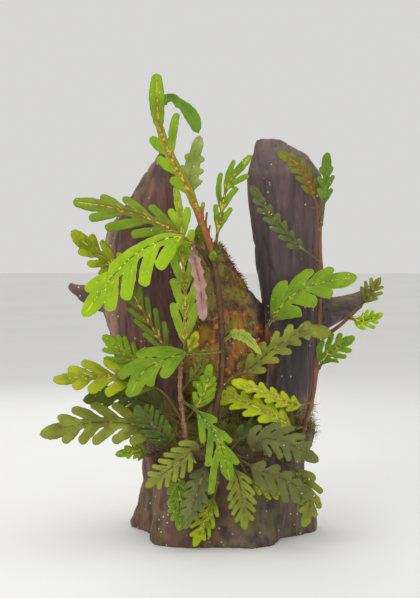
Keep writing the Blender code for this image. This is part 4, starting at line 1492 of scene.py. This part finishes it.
    def measure(self, flat: np.ndarray) -> tuple[np.ndarray, np.ndarray, np.ndarray]:
        """Measures flat points against the whole leaf.

        Args:
            flat: the points.

        Returns:
            The signed distance to the outline, the signed distance to the
            nearest lobe's vein, and the share of that vein.
        """
        leaf = self.leaf
        along, across = flat[:, 0], flat[:, 1]
        last = self.start + leaf.lobes * self.pitch
        share = np.clip((along - self.start) / max(last - self.start, 1e-3), 0.0, 1.0)
        spread = ease(along, self.start - 0.15 * self.pitch, self.start + 0.7 * self.pitch)
        flare = 1 + 0.5 * fall(along, -1.0, 2.0)
        width = leaf.stalk * flare * (1 - spread) + self.wing(share, across) * spread
        width = width * (1 - ease(along, last, last + 0.9 * self.pitch))
        edge = self.EDGE_SLOPE * (np.abs(across) - width)
        edge = np.maximum(edge, -self.back - along)
        fingers = np.full(len(flat), FAR_AWAY)
        offset, vein_share = across.copy(), np.zeros(len(flat))
        for lobe in self.lobes:
            here, aside, place = lobe.measure(flat)
            closer = here < fingers
            fingers = np.where(closer, here, fingers)
            offset = np.where(closer, aside, offset)
            vein_share = np.where(closer, place, vein_share)
        edge = blend_low(edge, fingers, max(1.1, 3.2 - leaf.reach))
        edge += self.ripple(along, across) * ease(along, self.start, self.start + 3)
        return edge, offset, vein_share

    def height(self, along: np.ndarray, across: np.ndarray, offset: np.ndarray) -> np.ndarray:
        """Bends the flat blade: its lobes droop, cup and sway, its midrib lies low.

        Args:
            along: the distance along the midrib.
            across: the distance to its side.
            offset: the signed distance to the nearest vein.

        Returns:
            How high each point lies above the plain sheet.
        """
        leaf = self.leaf
        a, b, c, _ = self.waves
        room = max(0.5 * self.pitch, 1.0)
        share = np.clip(along / self.length, 0.0, 1.0)
        off_rib = ease(np.abs(across), 0.5 * leaf.wing, leaf.wing + 2)
        cup = np.minimum((offset / room) ** 2, 1.0) * off_rib
        sway = np.sin(2 * math.pi * along / (2.2 * self.pitch + 6) + a) * np.sign(across + 1e-6)
        fling = ease(np.abs(across), 1.0, 0.6 * leaf.reach + leaf.wing) * min(1.0, leaf.reach / 6)
        height = -leaf.droop * across**2 / (leaf.reach + leaf.wing)
        height += -self.LOBE_CUP * room * cup + self.SWAY * sway * fling
        height += self.BUCKLE * np.sin(0.35 * along + b) * np.sin(0.3 * across + c) * fling
        height += -self.RIB_HOLLOW * np.exp(-((across / 0.9) ** 2)) * ease(share, 0.1, 0.3)
        return height

    def bounds(self) -> tuple[Span, Span]:
        """Finds a flat box that holds the whole blade.

        Returns:
            Its lowest and its highest corner.
        """
        veins = np.vstack([lobe.vein for lobe in self.lobes])
        widest = max(float(lobe.half.max()) for lobe in self.lobes) + 1.5
        side = max(np.abs(veins[:, 1]).max() + widest, self.leaf.wing + 2, self.leaf.margin + 2)
        return (-self.back - 1, -side), (max(self.length + 2, veins[:, 0].max() + widest), side)

    def sheets(self) -> tuple[np.ndarray, Faces, dict[str, np.ndarray]]:
        """Cuts the blade, bends it and gives it its thickness.

        Returns:
            Its points, its faces and what the finish reads from it.
        """
        flat, triangles = cut_sheet(self.field, *self.bounds(), self.STEP)
        edge, offset, vein_share = self.measure(flat)
        along, across = flat[:, 0], flat[:, 1]
        rim = np.maximum(-edge, 0.0)
        share = np.clip(along / self.length, 0.0, 1.0)
        height = self.height(along, across, offset)
        half = self.RIM_HALF + self.BODY_HALF * ease(rim, 0.0, self.RIM_WIDTH)
        rib = self.leaf.stalk * (1 - self.RIB_TAPER * share) + self.LEAST_RIB
        round_rib = rib * np.sqrt(np.maximum(0.0, 1 - (across / np.maximum(1.15 * rib, 0.8)) ** 2))
        stalked = 1 - 0.75 * ease(along, 0.6 * self.start, self.start + 0.6 * self.pitch)
        upper = self.guide.lay(along, across, height + np.maximum(half, stalked * round_rib))
        lower = self.guide.lay(along, across, height - np.maximum(half, 0.9 * round_rib))
        points, faces = close_sheet(upper, lower, [(c, b, a) for a, b, c in triangles])
        place = np.stack([(along - self.start) / max(self.pitch, 2.0), across, rim], axis=1)
        shape = np.stack([share, vein_share, np.full(len(flat), self.tone)], axis=1)
        attributes = {
            "sheet_place": np.vstack([place, place]),
            "blade_shape": np.vstack([shape, shape]),
            "vein_offset": np.concatenate([offset, offset]),
        }
        return points, faces, attributes


@dataclass
class Foliage:
    """All the leaves."""

    leaves: tuple[Leaf, ...]
    stems: dict[str, Stem]

    def build(self, slots: dict[str, str]) -> None:
        """Builds every blade in place of its solid.

        Args:
            slots: the material slot of each solid.
        """
        for leaf in self.leaves:
            points, faces, attributes = Blade(leaf, self.stems[leaf.stem]).sheets()
            name = f"veined_{leaf.name}"
            piece = make_piece(name, points, faces, leaf.finish.material(), attributes)
            dress(piece, slots[leaf.name], leaf.name)


# Wood


class WoodSolid(Enum):
    """The solids that one grown piece of wood takes the place of."""

    STUMP = "driftwood_stump"
    LEFT = "driftwood_left_limb"
    RIGHT = "driftwood_right_limb"
    SPUR = "driftwood_mossy_spur"


def noise_at(place: Triple | list[float], cell: Triple) -> float:
    """Reads a smooth noise of -1 to 1, with features of the cell's size."""
    return noise.noise(Vector([value / size for value, size in zip(place, cell)]))


@dataclass
class Driftwood:
    """The wood: its solids grown together, then weathered along the grain.

    A span says where something begins and where it is full, as heights unless its
    name says otherwise. The flanks are the spur's, which reach over to the limbs;
    the snags are the limbs' side branches. Grooves, threads and lumps are a noise
    with features of the size given for each axis.
    """

    voxel: float = 1.25
    doubles: float = 0.01
    smoothing: int = 14
    smoothing_share: float = 0.5
    rooting: float = 12.0
    root_margin: float = 0.1
    left_reach: float = 8.0
    right_reach: float = 5.0
    left_flank_x: Span = (-10.0, 4.0)
    right_flank_x: Span = (12.0, 26.0)
    flank_foot: Span = (84.0, 96.0)
    left_flank_top: Span = (192.0, 208.0)
    right_flank_top: Span = (160.0, 184.0)
    left_snag_x: Span = (-80.0, -70.0)
    right_snag_x: Span = (72.0, 86.0)
    snag_height: float = 160.0
    snag_girth: Span = (14.0, 26.0)
    twist: float = 5.0
    twist_height: float = 46.0
    upright_grooves: Triple = (6.5, 6.5, 70.0)
    upright_threads: Triple = (2.6, 2.6, 26.0)
    lying_grooves: Triple = (60.0, 6.0, 6.0)
    lying_threads: Triple = (22.0, 2.4, 2.4)
    lumps: Triple = (26.0, 26.0, 40.0)
    groove_depth: float = 1.7
    groove_narrowness: float = 2.2
    groove_level: float = 0.35
    thread_depth: float = 0.5
    lump_depth: float = 2.2
    calm_on_top: float = 0.6
    foot: float = 1.2
    foot_fade: float = 5.0
    top_facing: Span = (0.05, 0.7)
    spur_middle: float = 7.0
    spur_half: float = 28.0
    spur_taper: float = 12.0
    spur_tapering: Span = (140.0, 200.0)
    spur_edge: float = 6.0
    spur_foot: Span = (74.0, 86.0)
    spur_top: Span = (200.0, 215.0)
    ledge_height: float = 80.0
    ledge_half: Span = (6.0, 24.0)
    ledge_top: Span = (90.0, 102.0)
    stump_top: Span = (20.0, 70.0)
    moss_on_top: float = 0.2
    moss_on_spur: float = 0.8
    moss_on_ledge: float = 0.8
    moss_on_stump: float = 0.25
    planted_from: float = 0.45
    planted_gain: float = 1.6
    bare_foot: float = 6.0
    rust_centre: Triple = (12.0, -14.0, 128.0)
    rust_radius: float = 42.0
    rust_core: float = 0.4

    def reaching(self, x: float, z: float) -> float:
        """Works out how far the spur's flank reaches over to the limb beside it.

        Args:
            x: the place on the flank, to the right.
            z: its height.

        Returns:
            How far the place moves to the right.
        """
        foot = ease(z, *self.flank_foot)
        left = fall(x, *self.left_flank_x) * foot * fall(z, *self.left_flank_top)
        right = ease(x, *self.right_flank_x) * foot * fall(z, *self.right_flank_top)
        return float(self.right_reach * right - self.left_reach * left)

    def grown(self) -> bpy.types.Object:
        """Grows the wood's solids together into one closed mesh.

        Returns:
            The rough wood, with its modifiers still on it.
        """
        foot_height = (LEDGE_HEIGHT + JOINT_GAP + self.root_margin) * MM
        work = bmesh.new()
        for solid in WoodSolid:
            mesh = frame["nodes"][solid.value].data.copy()
            single = bmesh.new()
            single.from_mesh(mesh)
            bmesh.ops.remove_doubles(single, verts=single.verts, dist=self.doubles * MM)
            for vertex in single.verts:
                if vertex.co.z < foot_height and solid is not WoodSolid.STUMP:
                    vertex.co.z -= self.rooting * MM
                if solid is WoodSolid.SPUR:
                    vertex.co.x += self.reaching(vertex.co.x / MM, vertex.co.z / MM) * MM
            single.to_mesh(mesh)
            single.free()
            work.from_mesh(mesh)
            bpy.data.meshes.remove(mesh)
        joined = bpy.data.meshes.new("grown_wood")
        work.to_mesh(joined)
        work.free()
        joined.materials.clear()
        piece = link_object("grown_wood", joined)
        remesh = piece.modifiers.new("grow together", "REMESH")
        remesh.mode = "VOXEL"
        remesh.voxel_size = self.voxel * MM
        soften = piece.modifiers.new("soften", "SMOOTH")
        soften.iterations = self.smoothing
        soften.factor = self.smoothing_share
        return piece

    def weather(self, place: np.ndarray, normal: np.ndarray) -> tuple[np.ndarray, np.ndarray]:
        """Wears grooves, threads and lumps into the wood.

        Args:
            place: its points in millimetres.
            normal: the direction out of the wood at each.

        Returns:
            How far each point moves along its normal, and how much it lies on a
            side branch, whose grain runs across.
        """
        x, z = place[:, 0], place[:, 2]
        aside = np.maximum(ease(x, *self.right_snag_x), fall(x, *self.left_snag_x))
        branch = aside * fall(np.abs(z - self.snag_height), *self.snag_girth)
        moves = np.zeros(len(place))
        for k, (point, lying) in enumerate(zip(place.tolist(), branch.tolist())):
            px, py, pz = point
            twist = self.twist * math.sin(pz / self.twist_height)
            if lying > 0.5:
                grain = noise_at(point, self.lying_grooves)
                thread = noise_at(point, self.lying_threads)
            else:
                grain = noise_at((px + twist, py - twist, pz), self.upright_grooves)
                thread = noise_at((px + twist, py, pz), self.upright_threads)
            groove = max(0.0, 1 - abs(self.groove_narrowness * grain)) ** 3
            moves[k] = (
                self.groove_depth * (self.groove_level - groove)
                + self.thread_depth * thread
                + self.lump_depth * noise_at(point, self.lumps)
            )
        return moves * (1 - self.calm_on_top * np.abs(normal[:, 2])), branch

    def covers(
        self, place: np.ndarray, normal: np.ndarray, branch: np.ndarray
    ) -> dict[str, np.ndarray]:
        """Works out where the wood is mossy and rusty, and where moss is planted.

        Args:
            place: its points in millimetres.
            normal: the direction out of the wood at each.
            branch: how much each lies on a side branch.

        Returns:
            The wood's attributes, by name.
        """
        x, _, z = place.T
        up = ease(normal[:, 2], *self.top_facing)
        half = self.spur_half - self.spur_taper * ease(z, *self.spur_tapering)
        on_spur = ease(half - np.abs(x - self.spur_middle), 0, self.spur_edge)
        on_spur = on_spur * ease(z, *self.spur_foot) * fall(z, *self.spur_top)
        on_ledge = fall(np.abs(z - self.ledge_height), *self.ledge_half)
        moss = self.moss_on_top * up + self.moss_on_spur * on_spur + self.moss_on_ledge * on_ledge
        moss = np.clip(moss + self.moss_on_stump * fall(z, *self.stump_top), 0, 1)
        away = np.linalg.norm(place - np.array(self.rust_centre), axis=1)
        rust = fall(away, self.rust_core * self.rust_radius, self.rust_radius)
        cover = np.clip(moss - self.planted_from, 0, 1) * self.planted_gain
        cover = cover * (0.25 + 0.75 * up) * (z > self.bare_foot)
        low = fall(z, *self.ledge_top)
        return {
            "wood_place": np.stack([moss, rust, branch], axis=1),
            "spur_cover": cover * (1 - low),
            "ledge_cover": cover * low,
        }

    def build(self, slots: dict[str, str]) -> bpy.types.Object:
        """Builds the wood in place of its solids.

        Args:
            slots: the material slot of each solid.

        Returns:
            The wood, on which moss is planted.
        """
        rough = self.grown()
        mesh = finished_mesh(rough)
        bpy.data.objects.remove(rough)
        place = np.zeros(3 * len(mesh.vertices), np.float32)
        mesh.vertices.foreach_get("co", place)
        place = place.reshape(-1, 3).astype(float) / MM
        normal = np.array([tuple(n.vector) for n in mesh.vertex_normals])
        faces = [tuple(p.vertices) for p in mesh.polygons]
        bpy.data.meshes.remove(mesh)
        moves, branch = self.weather(place, normal)
        normal[:, 2] *= ease(place[:, 2], self.foot, self.foot + self.foot_fade)
        place += normal * moves[:, None]
        place[:, 2] = np.where(place[:, 2] < self.foot, 0.0, place[:, 2])
        attributes = self.covers(place, normal, branch)
        material = WoodFinish().material()
        wood = make_piece("weathered_driftwood", place, faces, material, attributes)
        dress(wood, slots[WoodSolid.STUMP.value], *(solid.value for solid in WoodSolid))
        return wood


# Small stuff


@dataclass
class Planting:
    """How small pieces are planted on a surface by a Geometry Nodes tree.

    cover names the surface's attribute that says where they grow. density is how
    many grow on a square millimetre where it is 1. Their sizes are drawn between
    size_low and size_high, and they lean up to tilt, in radians.
    """

    cover: str
    density: float
    size_low: float
    size_high: float
    tilt: float
    seed: int

    def tree(self, name: str) -> bpy.types.NodeTree:
        """Builds the tree, with named inputs for its sizes.

        Args:
            name: the tree's name.

        Returns:
            The tree.
        """
        tree = bpy.data.node_groups.new(name, "GeometryNodeTree")
        sockets = {
            "Ground": "NodeSocketGeometry",
            "Piece": "NodeSocketObject",
            "Cover": "NodeSocketString",
            "Density": "NodeSocketFloat",
            "Size Low": "NodeSocketFloat",
            "Size High": "NodeSocketFloat",
            "Tilt": "NodeSocketFloat",
            "Seed": "NodeSocketInt",
            "Material": "NodeSocketMaterial",
        }
        for label, kind in sockets.items():
            tree.interface.new_socket(label, in_out="INPUT", socket_type=kind)
        tree.interface.new_socket("Planted", in_out="OUTPUT", socket_type="NodeSocketGeometry")
        entry = tree.nodes.new("NodeGroupInput").outputs
        put = partial(add_node, tree)
        cover = put("GeometryNodeInputNamedAttribute", {"Name": entry["Cover"]}, data_type="FLOAT")
        factors = {0: entry["Density"], 1: cover.outputs[0]}
        often = put("ShaderNodeMath", factors, operation="MULTIPLY")
        points = put(
            "GeometryNodeDistributePointsOnFaces",
            {"Mesh": entry["Ground"], "Density": often.outputs[0], "Seed": entry["Seed"]},
        )
        back = put("ShaderNodeMath", {0: entry["Tilt"], 1: -1.0}, operation="MULTIPLY")
        lowest = put("ShaderNodeCombineXYZ", {0: back.outputs[0], 1: back.outputs[0], 2: -math.pi})
        highest = put("ShaderNodeCombineXYZ", {0: entry["Tilt"], 1: entry["Tilt"], 2: math.pi})
        lean = put(
            "FunctionNodeRandomValue",
            {0: lowest.outputs[0], 1: highest.outputs[0], "Seed": entry["Seed"]},
            data_type="FLOAT_VECTOR",
        )
        turn = put("FunctionNodeEulerToRotation", {0: lean.outputs[0]})
        turned = put(
            "FunctionNodeRotateRotation",
            {"Rotation": points.outputs["Rotation"], "Rotate By": turn.outputs[0]},
            rotation_space="LOCAL",
        )
        size = put(
            "FunctionNodeRandomValue",
            {2: entry["Size Low"], 3: entry["Size High"], "Seed": entry["Seed"]},
            data_type="FLOAT",
        )
        source = put("GeometryNodeObjectInfo", {"Object": entry["Piece"]})
        planted = put(
            "GeometryNodeInstanceOnPoints",
            {
                "Points": points.outputs["Points"],
                "Instance": source.outputs["Geometry"],
                "Rotation": turned.outputs[0],
                "Scale": size.outputs[1],
            },
        )
        real = put("GeometryNodeRealizeInstances", {0: planted.outputs[0]})
        dressed = put(
            "GeometryNodeSetMaterial", {"Geometry": real.outputs[0], "Material": entry["Material"]}
        )
        put("NodeGroupOutput", {0: dressed.outputs[0]})
        return tree

    def plant(
        self,
        name: str,
        ground: bpy.types.Object,
        piece: bpy.types.Object,
        finish: FibreFinish,
        slot: str,
    ) -> None:
        """Plants copies of a piece on a surface and makes them one mesh.

        Args:
            name: the name of what is planted.
            ground: the surface, with the attribute that cover names.
            piece: what is planted; it is removed afterwards.
            finish: its finish.
            slot: its material slot.
        """
        tree = self.tree(f"plant_{name}")
        values = {
            "Piece": piece,
            "Cover": self.cover,
            "Density": self.density / MM**2,
            "Size Low": self.size_low,
            "Size High": self.size_high,
            "Tilt": self.tilt,
            "Seed": self.seed,
            "Material": finish.material(),
        }
        modifier = ground.modifiers.new(name, "NODES")
        modifier.node_group = tree
        for item in tree.interface.items_tree:
            if item.name in values and item.in_out == "INPUT":
                modifier[item.identifier] = values[item.name]
        mesh = finished_mesh(ground)
        ground.modifiers.remove(modifier)
        mesh.shade_smooth()
        planted = link_object(name, mesh)
        bpy.data.objects.remove(piece)
        dress(planted, slot)


@dataclass
class Tuft:
    """A small tuft of bent tapering fibres.

    length is that of the longest fibre and radius a fibre's at its foot. spread is
    how far the fibres lean apart, as a share of their length, and their bends are
    drawn from the seed. A fibre bends outwards by that power of its length.
    """

    name: str
    fibres: int
    length: float
    radius: float
    spread: float
    seed: int
    levels: int = 4
    sides: int = 3
    bending: float = 1.6
    sinking: float = 0.35
    tapering: float = 0.85
    turning: float = 3.0

    def spine(self, chance: random.Random) -> list[np.ndarray]:
        """Draws the middle line of one fibre.

        Args:
            chance: what its lean, length and curl are drawn from.

        Returns:
            The middle of each of its levels.
        """
        turn = chance.uniform(0, 2 * math.pi)
        long = self.length * chance.uniform(0.6, 1.0)
        lean = self.spread * chance.uniform(0.3, 1.0)
        curl = chance.uniform(-0.3, 0.3)
        middles = []
        for level in range(self.levels):
            share = level / (self.levels - 1)
            out = long * lean * share**self.bending
            angle = turn + curl * share * self.turning
            rise = long * share * (1 - self.sinking * lean * share)
            middles.append(np.array([out * math.cos(angle), out * math.sin(angle), rise]))
        return middles

    def build(self) -> bpy.types.Object:
        """Builds the tuft.

        Returns:
            The tuft, with its foot at the origin and growing along Z.
        """
        chance = random.Random(self.seed)
        sides, last = self.sides, self.levels - 1
        around = [2 * math.pi * k / sides for k in range(sides)]
        points, faces = [], []
        for _ in range(self.fibres):
            start = len(points)
            for level, centre in enumerate(self.spine(chance)):
                thick = self.radius * (1 - self.tapering * level / last)
                points += [
                    centre + thick * np.array([math.cos(angle), math.sin(angle), 0.0])
                    for angle in around
                ]
            for level in range(last):
                for k in range(sides):
                    a = start + level * sides + k
                    b = start + level * sides + (k + 1) % sides
                    faces.append((a, b, b + sides, a + sides))
            faces.append(tuple(start + k for k in reversed(range(sides))))
            faces.append(tuple(start + last * sides + k for k in range(sides)))
        material = bpy.data.materials.get("Material") or bpy.data.materials.new("Material")
        return make_piece(self.name, np.array(points), faces, material, {})


# Studio


@dataclass(frozen=True)
class Lamp:
    """One square soft light: its place, the length of its sides and its power."""

    name: str
    place: Triple
    size: float
    watts: float

    def hang(self, aim: Triple) -> None:
        """Hangs the light so that it looks at the plant.

        Args:
            aim: the place that it looks at, in millimetres.
        """
        data = bpy.data.lights.new(self.name, "AREA")
        data.shape = "SQUARE"
        data.size = self.size * MM
        data.energy = self.watts
        lamp = link_object(self.name, data)
        lamp.location = Vector(self.place) * MM
        towards = Vector(aim) * MM - lamp.location
        lamp.rotation_euler = towards.to_track_quat("-Z", "Y").to_euler()


@dataclass
class Studio:
    """The pale floor, the soft lights and the camera."""

    aim: Triple = (0.0, -35.0, 166.0)
    distance: float = 776.0
    elevation: float = 3.0
    lens: float = 70.0
    sensor: float = 36.0
    view_length: float = 30.0
    floor_half: float = 6000.0
    room_colour: Colour = (0.97, 0.965, 0.95, 1.0)
    room_light: float = 0.7
    lamps: tuple[Lamp, ...] = (
        Lamp("key_light", (-420, -620, 640), 480, 1.9),
        Lamp("fill_light", (620, -520, 300), 600, 0.4),
        Lamp("top_light", (40, -60, 820), 420, 1.2),
        Lamp("back_light", (-200, 620, 520), 500, 1.0),
    )

    def build(self) -> None:
        """Sets up the floor, the lights and the camera."""
        self.floor()
        world = bpy.data.worlds.new("soft_room")
        world.use_nodes = True
        background = world.node_tree.nodes["Background"]
        background.inputs["Color"].default_value = self.room_colour
        background.inputs["Strength"].default_value = self.room_light
        bpy.context.scene.world = world
        for lamp in self.lamps:
            lamp.hang(self.aim)
        self.camera()
        bpy.context.scene.view_settings.view_transform = "Standard"

    def floor(self) -> None:
        """Lays the floor under the foot."""
        pen = Sketch("pale_floor", 0.8)
        pen.colour = pen.mix(pen.grain(4.0, 2.0), (236, 236, 234), (244, 244, 242))
        material = pen.finish(pen.grain(300, 2.0), 0.05, 0.1)
        square = np.array([(-1, -1, 0), (1, -1, 0), (1, 1, 0), (-1, 1, 0)], float) * self.floor_half
        floor = make_piece("pale_floor", square, [(0, 1, 2, 3)], material, {})

    def camera(self) -> None:
        """Places the camera at the photograph's viewing angle."""
        data = bpy.data.cameras.new("front_camera")
        data.lens = self.lens
        data.sensor_fit = "VERTICAL"
        data.sensor_height = self.sensor
        data.clip_end = self.view_length
        camera = link_object("front_camera", data)
        rise = math.radians(self.elevation)
        back = Vector((0.0, -math.cos(rise), math.sin(rise))) * self.distance
        camera.location = (Vector(self.aim) + back) * MM
        camera.rotation_euler = (-back).to_track_quat("-Z", "Y").to_euler()
        bpy.context.scene.camera = camera


def node_shares() -> dict[str, list[float]]:
    """Finds where each stem has a node: at each leaf, and at a few bare places.

    Returns:
        The shares of each stem's length.
    """
    nodes = {name: list(shares) for name, shares in EXTRA_NODES.items()}
    for leaf in LEAVES:
        nodes.setdefault(leaf.stem, []).append(leaf.at)
    return nodes


def main() -> None:
    """Builds the wood, the stems, the leaves and the small stuff, then the studio."""
    slots = {part["node"]: part["material_slot"] for part in frame["record"]["subparts"]}
    mossy = slots[WoodSolid.SPUR.value]
    wood = Driftwood().build(slots)
    stem_ground = StemSet(STEMS, node_shares()).build(slots)
    Foliage(LEAVES, {stem.name: stem for stem in STEMS}).build(slots)
    tuft = Tuft("moss_tuft", fibres=5, length=3.8, radius=0.23, spread=0.9, seed=4)
    moss = Planting("spur_cover", density=0.5, size_low=0.55, size_high=1.25, tilt=0.5, seed=11)
    moss.plant("moss_tufts", wood, tuft.build(), MOSS, mossy)
    long_tuft = Tuft("long_moss_tuft", fibres=5, length=6.5, radius=0.34, spread=1.1, seed=6)
    moss = Planting("ledge_cover", density=0.33, size_low=0.5, size_high=1.3, tilt=0.6, seed=17)
    moss.plant("ledge_moss_tufts", wood, long_tuft.build(), LEDGE_MOSS, mossy)
    hair = Tuft("root_hair", fibres=1, length=11.0, radius=0.2, spread=1.3, seed=9)
    hairs = Planting("stem_cover", density=0.55, size_low=0.4, size_high=1.3, tilt=0.7, seed=23)
    hairs.plant("root_hairs", stem_ground, hair.build(), ROOT_HAIR, slots["main_stem"])
    bpy.data.objects.remove(stem_ground)
    Studio().build()


if __name__ == "__main__":
    logging.basicConfig(level=logging.INFO, format="%(name)s: %(message)s")
    main()
